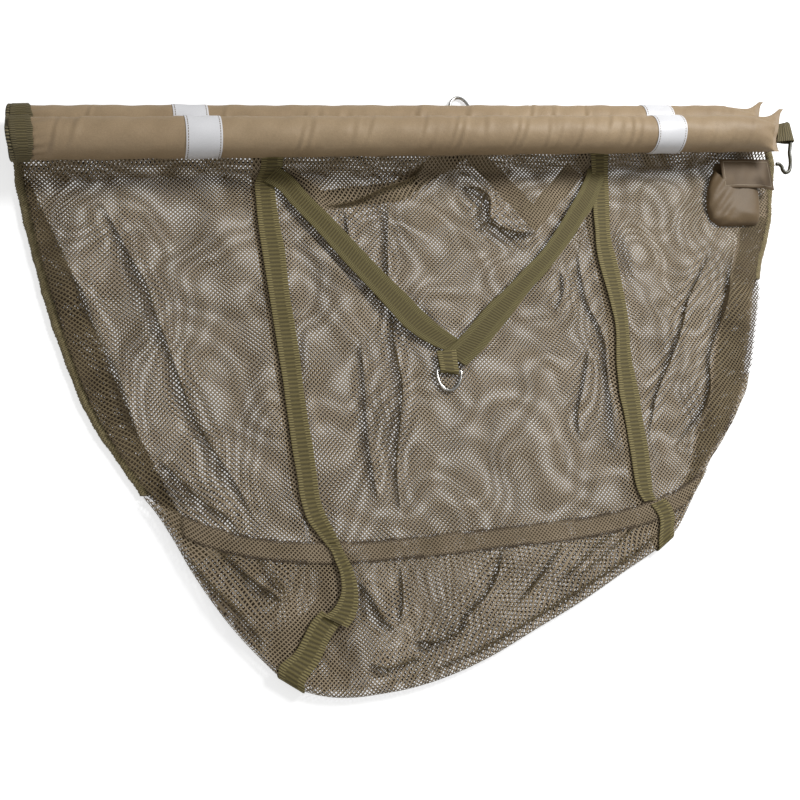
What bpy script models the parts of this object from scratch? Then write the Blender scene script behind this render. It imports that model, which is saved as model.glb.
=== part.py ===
"""Weigh sling laid out flat: two float bars, a net bag, webbing straps and two V handles.

Metres, +Z up, +X along the float bars, +Y from the foot of the bag towards the bars.
The shapes are worked out from a line on the floor below the rear bar's axis, and each
object is then placed so that the origin is on the floor at the middle of the sling.
"""
import math

import bpy
import bmesh
from mathutils import Vector

for item in list(bpy.data.objects):
    bpy.data.objects.remove(item, do_unlink=True)

# Gap that keeps two touching pieces apart, and the wider one at a seam that folds
CLEAR = 0.0003
SEAM_GAP = 0.0010

# Cloth, webbing and wire stock
NET_THICK = 0.0012
WEB_THICK = 0.0015
WEB_WIDTH = 0.030
TAPE_THICK = 0.0006
TAPE_WIDTH = 0.020
BAND_THICK = 0.0005
BAND_WIDTH = 0.046
RING_WIRE = 0.0020
HOOK_WIRE = 0.0018

# Float bars: a foam core in a sewn sleeve whose right end is closed flat
HALF_LENGTH = 0.5605
FLAT_END_INSET = 0.0245
BAR_RADIUS = 0.0265
SLEEVE_WALL = 0.0015
END_TAPER = 0.060
FLAT_END_HALF = 0.038
END_SLANT = 0.35
FLAT_END_THICK = 0.0024
STACK_ANGLE = math.radians(45)
BAR_SIDES = 24
BAND_MIDDLE_X = 0.0118
FRONT_BAND_REACH = 0.333
REAR_BAND_REACH = 0.343

# Left cuff: a gathered end and a webbing wrap on each bar, open over some of the bar's sides
GATHER_THICK = 0.005
WRAP_OPEN = 4

# Net bag, seen from above: its edges, drawn by hand for DRAWN_HALF_LENGTH, and its seam with the foot
DRAWN_HALF_LENGTH = 0.5605
LEFT_EDGE = [(-0.5573, -0.064), (-0.5305, -0.229), (-0.4863, -0.388), (-0.4346, -0.487)]
RIGHT_EDGE = [
    (0.5410, -0.135), (0.4968, -0.2325), (0.4660, -0.3262), (0.4250, -0.4156), (0.3947, -0.4582), (0.338, -0.520),
]
FOOT_EDGE = [
    (-0.4346, -0.487), (-0.3636, -0.6225), (-0.2754, -0.7405), (-0.2093, -0.7616), (-0.1068, -0.7556),
    (0.0046, -0.7251), (0.1257, -0.6762), (0.2537, -0.6158), (0.3225, -0.539), (0.338, -0.520),
]
SEAM_Y = -0.577
NET_GAP = 0.0112
NET_RIB = 0.010
NET_COLUMNS = 13
NET_ROWS = 8
SLOPE_ROWS = 4
SLOPE_FOOT_Y = -0.068
REAR_NET_TOP_Y = -0.014
CORNER_CUT = 0.005
NET_EDGE_Z = 0.0046
EDGE_DROP_Y = -0.19
BINDING_WIDTH = 0.012
BINDING_HEIGHT = 0.0062
BINDING_TOP_Y = -0.019
FOOT_LEFT_X = -0.412
FOOT_RIGHT_X = 0.300
FOOT_ROWS = 2
FOLD_STEPS = 4

# Main straps: middle line of each front run, its crease on the foot, and where it turns under
LEFT_STRAP = [(-0.2268, -0.068), (-0.2391, -0.105), (-0.2341, -0.247), (-0.2369, -0.379), (-0.2307, -0.451)]
RIGHT_STRAP = [(0.2539, -0.068), (0.2429, -0.176), (0.2497, -0.268), (0.2398, -0.356), (0.2366, -0.449)]
LEFT_STRAP_SEAM_X = -0.2140
RIGHT_STRAP_SEAM_X = 0.2320
RIGHT_FOOT_X = 0.2470
LEFT_CREASE = (-0.1973, -0.6438)
RIGHT_CREASE = (0.2515, -0.6010)
LEFT_TURN_X = -0.2785
RIGHT_TURN_X = 0.2440
STRAP_BACK_Y = 0.0

# Front V handle and its ring
LEFT_ARM_TOP_X = -0.2243
RIGHT_ARM_TOP_X = 0.2402
RIGHT_ARM_BEND = (0.1660, -0.1790)
TAB_WIDTH = 0.028
APEX_X = -0.0220
APEX_Y = -0.3490
APEX_CUT_Y = -0.3520
FRONT_RING_Y = -0.3605
TAB_TOP_Y = -0.3330
RING_WIDTH = 0.034
RING_HEIGHT = 0.0305
RING_STEPS = 16

# Rear handle, folded slack under the bag, and its ring behind the rear bar
REAR_APEX_X = 0.0630
REAR_APEX_Y = -0.0300
REAR_FOLD_Y = -0.1350
REAR_FOLD_SHARE = 0.50
REAR_ARM_TOP_Y = -0.0550
REAR_RING_Y = 0.0267

# Right end: webbing loop and the wire hook that hangs in it
LOOP_RADIUS = 0.0052
HOOK_ROUTE = [
    (0.0, 0.0180, 0.0), (0.0, 0.0, 0.0), (0.0, -0.0175, 0.0), (-0.0040, -0.0220, 0.0), (-0.0105, -0.0250, -0.0005),
    (-0.0122, -0.0330, -0.0020), (-0.0105, -0.0470, -0.0041), (-0.0130, -0.0590, -0.0058), (-0.0190, -0.0645, -0.0070),
    (-0.0226, -0.0600, -0.0082), (-0.0223, -0.0540, -0.0091), (-0.0250, -0.0500, -0.0101), (-0.0298, -0.0472, -0.0111),
]

# Pouch on the front net, tipped up towards the bar, with a mouth under its flap
POUCH_INSET = 0.1090
POUCH_WIDTH = 0.0790
POUCH_FOOT_Y = -0.1605
POUCH_LENGTH = 0.0965
POUCH_TILT = math.radians(4)
POUCH_THICK = 0.0130
POUCH_WALL = 0.0015
MOUTH_LENGTH = 0.0240
FLAP_SHIFT = 0.0220
FLAP_WIDTH = 0.0830
FLAP_LENGTH = 0.0450
FLAP_THICK = 0.0016

# Heights and places that follow from the sizes above
SPREAD = HALF_LENGTH / DRAWN_HALF_LENGTH
LEFT_SIDE = [(x * SPREAD, y) for x, y in LEFT_EDGE]
RIGHT_SIDE = [(x * SPREAD, y) for x, y in RIGHT_EDGE]
FOOT_SIDE = [(x * SPREAD, y) for x, y in FOOT_EDGE]
BAR_RIGHT = HALF_LENGTH - FLAT_END_INSET
POUCH_LEFT_X = BAR_RIGHT - POUCH_INSET
FLAP_LEFT_X = POUCH_LEFT_X + FLAP_SHIFT
REAR_BAR_Z = WEB_THICK + CLEAR + BAR_RADIUS
BAND_RADIUS = BAR_RADIUS + CLEAR + BAND_THICK
BAR_PITCH = 2 * BAND_RADIUS + CLEAR
FRONT_BAR_Y = -BAR_PITCH * math.cos(STACK_ANGLE)
FRONT_BAR_Z = REAR_BAR_Z + BAR_PITCH * math.sin(STACK_ANGLE)
CUFF_LEFT = -HALF_LENGTH
WRAP_LEFT = CUFF_LEFT + GATHER_THICK + CLEAR
REAR_NET_Z = WEB_THICK + CLEAR + NET_THICK / 2
FRONT_NET_Z = REAR_NET_Z + NET_THICK + NET_GAP
NET_TOP_Y = FRONT_BAR_Y - 0.0035
NET_TOP_Z = FRONT_BAR_Z - BAR_RADIUS - 2 * CLEAR - NET_THICK / 2
STRAP_LIFT = NET_THICK / 2 + CLEAR + WEB_THICK / 2
HANDLE_LIFT = STRAP_LIFT + WEB_THICK + CLEAR
FOOT_STRAP_Z = FRONT_NET_Z + NET_THICK / 2 + CLEAR + TAPE_THICK + CLEAR + WEB_THICK / 2
BACK_STRAP_Z = WEB_THICK / 2
FOLD_RADIUS = (FRONT_NET_Z - REAR_NET_Z) / 2
FOLD_Z = (FRONT_NET_Z + REAR_NET_Z) / 2
HANDLE_Z = FRONT_NET_Z + HANDLE_LIFT
POUCH_Z = FRONT_NET_Z + NET_THICK / 2 + CLEAR
LOOP_BAR_RADIUS = RING_WIRE + CLEAR + WEB_THICK / 2


def material(name, colour, roughness, metallic=0.0):
    made = bpy.data.materials.new(name)
    made.use_nodes = True
    shader = made.node_tree.nodes["Principled BSDF"]
    shader.inputs["Base Color"].default_value = (*colour, 1.0)
    shader.inputs["Roughness"].default_value = roughness
    shader.inputs["Metallic"].default_value = metallic
    return made


FOAM = material("closed_cell_foam", (0.30, 0.30, 0.30), 0.9)
NYLON = material("tan_nylon", (0.386, 0.287, 0.181), 0.7)
REFLECTIVE = material("reflective_tape", (0.565, 0.558, 0.565), 0.45)
NET = material("olive_net", (0.184, 0.150, 0.105), 0.85)
WEBBING = material("olive_webbing", (0.112, 0.093, 0.050), 0.8)
CHROME = material("chrome_wire", (0.578, 0.578, 0.610), 0.15, 1.0)
COATED = material("coated_wire", (0.048, 0.045, 0.030), 0.5)


def along(points, y):
    """X of a hand-chosen edge at y, straight between its points."""
    for (x0, y0), (x1, y1) in zip(points, points[1:]):
        if y >= y1:
            share = min(max((y - y0) / (y1 - y0), 0.0), 1.0)
            return x0 + share * (x1 - x0)
    return points[-1][0]


def across(points, x):
    """Y of a hand-chosen edge at x, straight between its points."""
    for (x0, y0), (x1, y1) in zip(points, points[1:]):
        if x <= x1:
            return y0 + (x - x0) / (x1 - x0) * (y1 - y0)
    return points[-1][1]


def left_net_x(y):
    return along(LEFT_SIDE, y) + BINDING_WIDTH + CLEAR


def right_net_x(y):
    return along(RIGHT_SIDE, y) - BINDING_WIDTH - CLEAR


def seam_curve(x):
    """The seam runs straight between the straps and lifts to meet both side edges."""
    end_x, end_y = LEFT_SIDE[-1] if x < 0 else RIGHT_SIDE[-1]
    return SEAM_Y + (end_y - SEAM_Y) * (x / end_x) ** 4


SEAM_LEFT = left_net_x(LEFT_SIDE[-1][1])
SEAM_RIGHT = right_net_x(RIGHT_SIDE[-1][1])
SEAM_X = [SEAM_LEFT + (SEAM_RIGHT - SEAM_LEFT) * i / NET_COLUMNS for i in range(NET_COLUMNS + 1)]
SEAM = [(x, seam_curve(x)) for x in SEAM_X]
FOOT_X = [FOOT_LEFT_X * SPREAD] + SEAM_X[1:-1] + [FOOT_RIGHT_X * SPREAD]
FOOT = [(x, across(FOOT_SIDE, x)) for x in FOOT_X]

# The origin is half way between the foot of the bag and the far side of the rear ring
RING_REACH = REAR_RING_Y + RING_HEIGHT + RING_WIRE
FOOT_REACH = min(y for _, y in FOOT)
TO_MIDDLE = Vector((0.0, -(RING_REACH + FOOT_REACH) / 2, 0.0))


def finish(name, bm, look, pivot=(0.0, 0.0, 0.0), rounded=True):
    """Turn a bmesh into an object whose origin is its pivot, moved to the sling's middle."""
    bmesh.ops.recalc_face_normals(bm, faces=bm.faces)
    bmesh.ops.translate(bm, verts=bm.verts, vec=-Vector(pivot))
    mesh = bpy.data.meshes.new(name)
    bm.to_mesh(mesh)
    bm.free()
    if rounded:
        mesh.shade_smooth()
        mesh.set_sharp_from_angle(angle=math.radians(50))
    mesh.materials.append(look)
    made = bpy.data.objects.new(name, mesh)
    made.location = Vector(pivot) + TO_MIDDLE
    bpy.context.scene.collection.objects.link(made)
    return made


def bridge(bm, ring, next_ring):
    count = len(ring)
    for k in range(count):
        bm.faces.new((ring[k], ring[(k + 1) % count], next_ring[(k + 1) % count], next_ring[k]))


def ribbon(name, sections, thickness, look, pivot=(0.0, 0.0, 0.0)):
    """A flat strip through sections, each an edge point, the other edge point and a normal."""
    bm = bmesh.new()
    rings = []
    for one_edge, other_edge, normal in sections:
        step = Vector(normal).normalized() * (thickness / 2)
        corners = ((one_edge, -step), (other_edge, -step), (other_edge, step), (one_edge, step))
        rings.append([bm.verts.new(Vector(point) + offset) for point, offset in corners])
    for ring, next_ring in zip(rings, rings[1:]):
        bridge(bm, ring, next_ring)
    bm.faces.new(rings[0])
    bm.faces.new(rings[-1])
    return finish(name, bm, look, pivot)


def wire(name, points, radius, sides, look, closed, pivot=(0.0, 0.0, 0.0)):
    """A round wire through points that lie near one level."""
    bm = bmesh.new()
    rings = []
    count = len(points)
    for k, point in enumerate(points):
        before = points[(k - 1) % count] if closed else points[max(k - 1, 0)]
        after = points[(k + 1) % count] if closed else points[min(k + 1, count - 1)]
        way = (Vector(after) - Vector(before)).normalized()
        side = way.cross(Vector((0, 0, 1))).normalized()
        up = side.cross(way)
        ring = []
        for s in range(sides):
            turn = 2 * math.pi * (s + 0.5) / sides
            ring.append(bm.verts.new(Vector(point) + radius * (side * math.cos(turn) + up * math.sin(turn))))
        rings.append(ring)
    for ring, next_ring in zip(rings, rings[1:]):
        bridge(bm, ring, next_ring)
    if closed:
        bridge(bm, rings[-1], rings[0])
    else:
        bm.faces.new(rings[0])
        bm.faces.new(rings[-1])
    return finish(name, bm, look, pivot)


def bar_ring(bm, x, middle_y, middle_z, half_y, half_z, slant=0.0):
    ring = []
    for s in range(BAR_SIDES):
        turn = 2 * math.pi * s / BAR_SIDES
        out = half_y * math.cos(turn)
        ring.append(bm.verts.new((x + slant * out, middle_y + out, middle_z + half_z * math.sin(turn))))
    return ring


def sleeve(name, middle_y, middle_z):
    """Tube open at the cuff; the other end is drawn flat into a seam that lies along Y."""
    bm = bmesh.new()
    steps = 5
    outer = [bar_ring(bm, WRAP_LEFT, middle_y, middle_z, BAR_RADIUS, BAR_RADIUS)]
    for k in range(steps + 1):
        share = k / steps
        x = BAR_RIGHT - END_TAPER * (1 - share)
        half_y = BAR_RADIUS + (FLAT_END_HALF - BAR_RADIUS) * share ** 2
        half_z = FLAT_END_THICK / 2 + (BAR_RADIUS - FLAT_END_THICK / 2) * math.sqrt(1 - share ** 2)
        outer.append(bar_ring(bm, x, middle_y, middle_z, half_y, half_z, END_SLANT * share))
    for ring, next_ring in zip(outer, outer[1:]):
        bridge(bm, ring, next_ring)
    bm.faces.new(outer[-1])
    inside = BAR_RADIUS - SLEEVE_WALL
    mouth = bar_ring(bm, WRAP_LEFT, middle_y, middle_z, inside, inside)
    bottom = bar_ring(bm, BAR_RIGHT - END_TAPER, middle_y, middle_z, inside, inside)
    bridge(bm, outer[0], mouth)
    bridge(bm, mouth, bottom)
    bm.faces.new(bottom)
    return finish(name, bm, NYLON)


def foam_core(name, middle_y, middle_z):
    bm = bmesh.new()
    radius = BAR_RADIUS - SLEEVE_WALL - CLEAR
    left = bar_ring(bm, WRAP_LEFT + CLEAR, middle_y, middle_z, radius, radius)
    right = bar_ring(bm, BAR_RIGHT - END_TAPER - CLEAR, middle_y, middle_z, radius, radius)
    bridge(bm, left, right)
    bm.faces.new(left)
    bm.faces.new(right)
    return finish(name, bm, FOAM)


def band(name, middle_x, middle_y, middle_z):
    """Reflective tape sewn right round a bar."""
    bm = bmesh.new()
    inner = BAR_RADIUS + CLEAR
    ends = (middle_x - BAND_WIDTH / 2, middle_x + BAND_WIDTH / 2)
    rings = [bar_ring(bm, x, middle_y, middle_z, r, r) for x, r in (
        (ends[0], BAND_RADIUS), (ends[1], BAND_RADIUS), (ends[1], inner), (ends[0], inner))]
    for k in range(4):
        bridge(bm, rings[k], rings[(k + 1) % 4])
    return finish(name, bm, REFLECTIVE)


def wrap(name, middle_y, middle_z, towards_other):
    """Webbing round a bar's left end, left open on the side where the bars touch."""
    radius = BAR_RADIUS + CLEAR + WEB_THICK / 2
    sections = []
    for k in range(WRAP_OPEN // 2, BAR_SIDES - WRAP_OPEN // 2 + 1):
        turn = towards_other + 2 * math.pi * k / BAR_SIDES
        normal = (0.0, math.cos(turn), math.sin(turn))
        y, z = middle_y + radius * normal[1], middle_z + radius * normal[2]
        sections.append(((WRAP_LEFT, y, z), (WRAP_LEFT + WEB_WIDTH, y, z), normal))
    return ribbon(name, sections, WEB_THICK, WEBBING)


def end_gather():
    """Gathered webbing that closes the left ends of both bars."""
    radius = BAR_RADIUS + CLEAR + WEB_THICK
    steps = 12
    outline = []
    for middle, start in (((0.0, REAR_BAR_Z), -STACK_ANGLE - math.pi / 4),
                          ((FRONT_BAR_Y, FRONT_BAR_Z), math.pi * 3 / 4 - STACK_ANGLE)):
        for k in range(steps + 1):
            turn = start + math.pi * k / steps
            outline.append((middle[0] + radius * math.cos(turn), middle[1] + radius * math.sin(turn)))
    bm = bmesh.new()
    sides = [[bm.verts.new((x, y, z)) for y, z in outline] for x in (CUFF_LEFT, CUFF_LEFT + GATHER_THICK)]
    bridge(bm, sides[0], sides[1])
    bm.faces.new(sides[0])
    bm.faces.new(sides[1])
    return finish("left_end_gather", bm, WEBBING)


def front_net_z(y):
    """Height of the front net's middle: flat, then up to the underside of the front bar."""
    share = min(max((y - SLOPE_FOOT_Y) / (NET_TOP_Y - SLOPE_FOOT_Y), 0.0), 1.0)
    return FRONT_NET_Z + (NET_TOP_Z - FRONT_NET_Z) * share ** 2 * (1.5 - 0.5 * share)


SLOPE_STATIONS = [NET_TOP_Y + (SLOPE_FOOT_Y - NET_TOP_Y) * k / SLOPE_ROWS for k in range(SLOPE_ROWS + 1)]


def slope_point(k, lift):
    """Point and normal at a slope station, lifted off the front net's middle."""
    here = SLOPE_STATIONS[k]
    above = SLOPE_STATIONS[max(k - 1, 0)]
    below = SLOPE_STATIONS[k + 1] if k < SLOPE_ROWS else 2 * here - above
    run, rise = above - below, front_net_z(above) - front_net_z(below)
    length = math.hypot(run, rise)
    normal = (0.0, -rise / length, run / length)
    return here + lift * normal[1], front_net_z(here) + lift * normal[2], normal


def net_sheet(name, grid, has_gap):
    """A sheet of net through a grid of points, with a gap in each cell that has_gap allows."""
    bm = bmesh.new()
    rows, columns = len(grid), len(grid[0])

    def normal_at(j, i):
        down = Vector(grid[min(j + 1, rows - 1)][i]) - Vector(grid[max(j - 1, 0)][i])
        right = Vector(grid[j][min(i + 1, columns - 1)]) - Vector(grid[j][max(i - 1, 0)])
        return down.cross(right).normalized()

    half = NET_THICK / 2
    middle = [[Vector(grid[j][i]) for i in range(columns)] for j in range(rows)]
    normals = [[normal_at(j, i) for i in range(columns)] for j in range(rows)]
    layers = [
        [[bm.verts.new(middle[j][i] + side * half * normals[j][i]) for i in range(columns)] for j in range(rows)]
        for side in (1, -1)
    ]
    for j in range(rows - 1):
        for i in range(columns - 1):
            corners = ((j, i), (j, i + 1), (j + 1, i + 1), (j + 1, i))
            if not has_gap(j, i):
                for layer in layers:
                    bm.faces.new([layer[a][b] for a, b in corners])
                continue
            width = (middle[j][i + 1] - middle[j][i]).length
            height = (middle[j + 1][i] - middle[j][i]).length
            u, v = NET_RIB / 2 / width, NET_RIB / 2 / height
            shares = ((u, v), (1 - u, v), (1 - u, 1 - v), (u, 1 - v))
            gaps = []
            for side in (1, -1):
                gap = []
                for s, t in shares:
                    weights = ((1 - s) * (1 - t), s * (1 - t), s * t, (1 - s) * t)
                    point = sum((w * middle[a][b] for w, (a, b) in zip(weights, corners)), Vector())
                    lift = sum((w * normals[a][b] for w, (a, b) in zip(weights, corners)), Vector())
                    gap.append(bm.verts.new(point + side * half * lift.normalized()))
                gaps.append(gap)
            for layer, gap in zip(layers, gaps):
                frame = [layer[a][b] for a, b in corners]
                bridge(bm, frame, gap)
            bridge(bm, gaps[0], gaps[1])
    rim = [(0, i) for i in range(columns)] + [(j, columns - 1) for j in range(1, rows)]
    rim += [(rows - 1, i) for i in range(columns - 2, -1, -1)] + [(j, 0) for j in range(rows - 2, 0, -1)]
    bridge(bm, [layers[0][j][i] for j, i in rim], [layers[1][j][i] for j, i in rim])
    return finish(name, bm, NET)


def flat_row(share, z_of):
    """One row of the bag between the foot of the slope and the seam."""
    row = []
    for i, (seam_x, seam_y) in enumerate(SEAM):
        u = i / NET_COLUMNS
        last_y = seam_y + SEAM_GAP / 2
        y = SLOPE_FOOT_Y + (last_y - SLOPE_FOOT_Y) * share
        side_left = SLOPE_FOOT_Y + (SEAM[0][1] + SEAM_GAP / 2 - SLOPE_FOOT_Y) * share
        side_right = SLOPE_FOOT_Y + (SEAM[-1][1] + SEAM_GAP / 2 - SLOPE_FOOT_Y) * share
        x = (1 - u) * left_net_x(side_left) + u * right_net_x(side_right)
        row.append((x, y, z_of(i, y)))
    return row


def bag_nets():
    """Front and rear panels of the bag."""
    left, right = left_net_x(SLOPE_FOOT_Y), right_net_x(SLOPE_FOOT_Y)
    top_x = [left + (right - left) * i / NET_COLUMNS for i in range(NET_COLUMNS + 1)]

    def front_z(i, y):
        at_side = i in (0, NET_COLUMNS)
        return NET_EDGE_Z if at_side and y < EDGE_DROP_Y else front_net_z(y)

    def rear_z(i, y):
        return REAR_NET_Z

    front = [[(x, y, front_net_z(y)) for x in top_x] for y in SLOPE_STATIONS[:-1]]
    front[0][0] = (WRAP_LEFT + WEB_WIDTH + CORNER_CUT, NET_TOP_Y, NET_TOP_Z)
    front += [flat_row(j / NET_ROWS, front_z) for j in range(NET_ROWS + 1)]
    net_sheet("front_net_panel", front, lambda j, i: j >= SLOPE_ROWS)
    rear = [[(x, REAR_NET_TOP_Y, REAR_NET_Z) for x in top_x]]
    rear += [flat_row(j / NET_ROWS, rear_z) for j in range(NET_ROWS + 1)]
    net_sheet("rear_net_panel", rear, lambda j, i: j >= 1)


def foot_net():
    """The foot of the bag: one net folded over, open along the seam with both panels."""
    columns = []
    for x, foot_y in FOOT:
        top_y = across(SEAM, x) - SEAM_GAP / 2
        fold_y = foot_y + FOLD_RADIUS + NET_THICK / 2
        path = [(top_y + (fold_y - top_y) * k / FOOT_ROWS, FRONT_NET_Z) for k in range(FOOT_ROWS)]
        for k in range(FOLD_STEPS + 1):
            turn = math.pi * k / FOLD_STEPS
            path.append((fold_y - FOLD_RADIUS * math.sin(turn), FOLD_Z + FOLD_RADIUS * math.cos(turn)))
        path += [(fold_y + (top_y - fold_y) * k / FOOT_ROWS, REAR_NET_Z) for k in range(1, FOOT_ROWS + 1)]
        columns.append([(x, y, z) for y, z in path])
    grid = [list(row) for row in zip(*columns)]
    net_sheet("foot_net", grid, lambda j, i: j < FOOT_ROWS and 0 < i < NET_COLUMNS - 1)


def seam_tape():
    """Tape sewn over the seam, on the foot's side of it."""
    z = FRONT_NET_Z + NET_THICK / 2 + CLEAR + TAPE_THICK / 2
    first_y = 0.004
    sections = []
    for x, y in SEAM[1:-1]:
        sections.append(((x, y - first_y - TAPE_WIDTH, z), (x, y - first_y, z), (0, 0, 1)))
    ribbon("seam_tape", sections, TAPE_THICK, NET)


def side_binding(name, edge, side):
    """Binding tape that closes one side of the bag, just outside both panels."""
    last = SEAM[0] if side < 0 else SEAM[-1]
    stations = [BINDING_TOP_Y] + [
        SLOPE_FOOT_Y + (last[1] + SEAM_GAP / 2 - SLOPE_FOOT_Y) * j / NET_ROWS for j in range(NET_ROWS + 1)]
    sections = []
    for y in stations:
        outer = along(edge, y)
        inner = outer - side * BINDING_WIDTH
        sections.append(((outer, y, BINDING_HEIGHT / 2), (inner, y, BINDING_HEIGHT / 2), (0, 0, 1)))
    ribbon(name, sections, BINDING_HEIGHT, WEBBING)


def strap_front_run(name, route, seam_x):
    """Main strap from under the front bar down the front net to the seam."""
    sections = []
    for k in range(1, SLOPE_ROWS + 1):
        y, z, normal = slope_point(k, STRAP_LIFT)
        x = along(route, y)
        sections.append(((x - WEB_WIDTH / 2, y, z), (x + WEB_WIDTH / 2, y, z), normal))
    for x, y in route[1:] + [(seam_x, seam_curve(seam_x) + SEAM_GAP)]:
        z = FRONT_NET_Z + STRAP_LIFT
        sections.append(((x - WEB_WIDTH / 2, y, z), (x + WEB_WIDTH / 2, y, z), (0, 0, 1)))
    ribbon(name, sections, WEB_THICK, WEBBING)


def turn_under(turn_x):
    """Where a strap bends round the foot's fold, and how far that fold leans over its width."""
    left_y = across(FOOT, turn_x - WEB_WIDTH / 2)
    right_y = across(FOOT, turn_x + WEB_WIDTH / 2)
    return (left_y + right_y) / 2 + FOLD_RADIUS + NET_THICK / 2, (right_y - left_y) / 2


def back_run_x(route, turn_x, y):
    """Middle of a strap's run under the bag."""
    share = (y - turn_under(turn_x)[0]) / (STRAP_BACK_Y - turn_under(turn_x)[0])
    return turn_x + share * (route[0][0] - turn_x)


def strap_foot_run(name, route, seam_x, start_x, crease, turn_x):
    """The same strap over the foot, round its fold and back under the bag to the rear bar."""
    start_y = seam_curve(seam_x) - 0.0025
    half = WEB_WIDTH / 2
    way_in = Vector((crease[0] - start_x, crease[1] - start_y)).normalized()
    fold_y, lean = turn_under(turn_x)
    way_out = Vector((turn_x - crease[0], fold_y - crease[1])).normalized()
    middle_way = (way_in + way_out).normalized()
    mitre = half / max(middle_way.dot(way_in), 0.5)
    mitre_side = Vector((-middle_way.y, middle_way.x)) * mitre
    radius = (FOOT_STRAP_Z - BACK_STRAP_Z) / 2
    middle_z = (FOOT_STRAP_Z + BACK_STRAP_Z) / 2
    sections = [((start_x - half, start_y, FOOT_STRAP_Z), (start_x + half, start_y, FOOT_STRAP_Z), (0, 0, 1))]
    sections.append((
        (crease[0] - mitre_side.x, crease[1] - mitre_side.y, FOOT_STRAP_Z),
        (crease[0] + mitre_side.x, crease[1] + mitre_side.y, FOOT_STRAP_Z), (0, 0, 1)))
    for k in range(FOLD_STEPS + 1):
        turn = math.pi * k / FOLD_STEPS
        y = fold_y - radius * math.sin(turn)
        z = middle_z + radius * math.cos(turn)
        normal = (0, -math.sin(turn), math.cos(turn))
        sections.append(((turn_x - half, y - lean, z), (turn_x + half, y + lean, z), normal))
    x = route[0][0]
    sections.append(((x - half, STRAP_BACK_Y, BACK_STRAP_Z), (x + half, STRAP_BACK_Y, BACK_STRAP_Z), (0, 0, -1)))
    ribbon(name, sections, WEB_THICK, WEBBING)


HANDLE_STATION = SLOPE_ROWS - 1
HANDLE_AXIS_Y, HANDLE_AXIS_Z, HANDLE_NORMAL = slope_point(HANDLE_STATION, HANDLE_LIFT)
HANDLE_PIVOT = (APEX_X, HANDLE_AXIS_Y, HANDLE_AXIS_Z)


def handle_arm(name, top_x, bends):
    """One arm of the V handle, cut off at the middle of the V and across its tip."""
    side = 1 if top_x < APEX_X else -1
    half = WEB_WIDTH / 2
    foot_y, foot_z, foot_normal = slope_point(SLOPE_ROWS, HANDLE_LIFT)
    end_x = APEX_X - side * CLEAR / 2
    points = [Vector((top_x, foot_y))] + [Vector(bend) for bend in bends] + [Vector((end_x, APEX_Y))]
    ways = [(b - a).normalized() for a, b in zip(points, points[1:])]
    first, last = ways[0], ways[-1]
    sections = []
    for y, z, normal in ((HANDLE_AXIS_Y, HANDLE_AXIS_Z, HANDLE_NORMAL), (foot_y, foot_z, foot_normal)):
        x = top_x + (y - foot_y) * first.x / first.y
        half_x = side * half / abs(first.y)
        sections.append(((x - half_x, y, z), (x + half_x, y, z), normal))
    for point, before, after in zip(points[1:-1], ways, ways[1:]):
        middle = (before + after).normalized()
        reach = Vector((-middle.y, middle.x)) * (side * half / middle.dot(before))
        sections.append(((*(point - reach), HANDLE_Z), (*(point + reach), HANDLE_Z), (0, 0, 1)))
    half_y = half / abs(last.x)
    tip_x = end_x - side * (APEX_CUT_Y - (APEX_Y - half_y)) * abs(last.x / last.y)
    for x in (tip_x, end_x):
        inner_y = APEX_Y + half_y + (x - end_x) * last.y / last.x
        sections.append(((x, APEX_CUT_Y, HANDLE_Z), (x, inner_y, HANDLE_Z), (0, 0, 1)))
    ribbon(name, sections, WEB_THICK, WEBBING, HANDLE_PIVOT)


def loop_path(reach_long, reach_short, spread):
    """Middle line of webbing folded round a bar at the origin, its two ends at +s."""
    radius = LOOP_BAR_RADIUS
    path = [(reach_long, spread[0])]
    for k in range(9):
        turn = math.radians(60) + math.radians(240) * k / 8
        path.append((radius * math.cos(turn), radius * math.sin(turn)))
    path.append((reach_short, spread[1]))
    return path


def path_sections(path, place, half):
    """Ribbon sections along a path in one plane; place turns its points into edge points."""
    sections = []
    for k, (s, t) in enumerate(path):
        before, after = path[max(k - 1, 0)], path[min(k + 1, len(path) - 1)]
        ds, dt = after[0] - before[0], after[1] - before[1]
        sections.append((place(s, t, -half), place(s, t, half), place(-dt, ds, None)))
    return sections


def d_ring(name, middle_x, axis_y, axis_z, way):
    """Wire D with its straight side on the axis and its round side towards way."""
    half = RING_WIDTH / 2
    points = [(middle_x + half * math.cos(math.pi * k / RING_STEPS),
               axis_y + way * RING_HEIGHT * math.sin(math.pi * k / RING_STEPS), axis_z) for k in range(RING_STEPS + 1)]
    points += [(middle_x - half / 3, axis_y, axis_z), (middle_x + half / 3, axis_y, axis_z)]
    wire(name, points, RING_WIRE, 8, CHROME, True, (middle_x, axis_y, axis_z))


FRONT_RING_Z = FRONT_NET_Z + NET_THICK / 2 + CLEAR + LOOP_BAR_RADIUS + WEB_THICK / 2


def front_ring_tab():
    """Webbing folded round the ring's straight side, its long end sewn over the V's tip."""
    over_arms = HANDLE_Z + WEB_THICK + CLEAR - FRONT_RING_Z
    under = -LOOP_BAR_RADIUS
    path = [(TAB_TOP_Y - FRONT_RING_Y, over_arms), (APEX_CUT_Y - FRONT_RING_Y, over_arms)]
    for k in range(9):
        turn = math.radians(70) + math.radians(220) * k / 8
        path.append((LOOP_BAR_RADIUS * math.cos(turn), LOOP_BAR_RADIUS * math.sin(turn)))
    path.append((APEX_CUT_Y - CLEAR - FRONT_RING_Y, under))

    def place(s, t, offset):
        if offset is None:
            return (0, s, t)
        return (APEX_X + offset, FRONT_RING_Y + s, FRONT_RING_Z + t)

    ribbon("front_ring_tab", path_sections(path, place, TAB_WIDTH / 2), WEB_THICK, WEBBING, HANDLE_PIVOT)


REAR_RING_Z = LOOP_BAR_RADIUS + WEB_THICK / 2 + CLEAR


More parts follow.
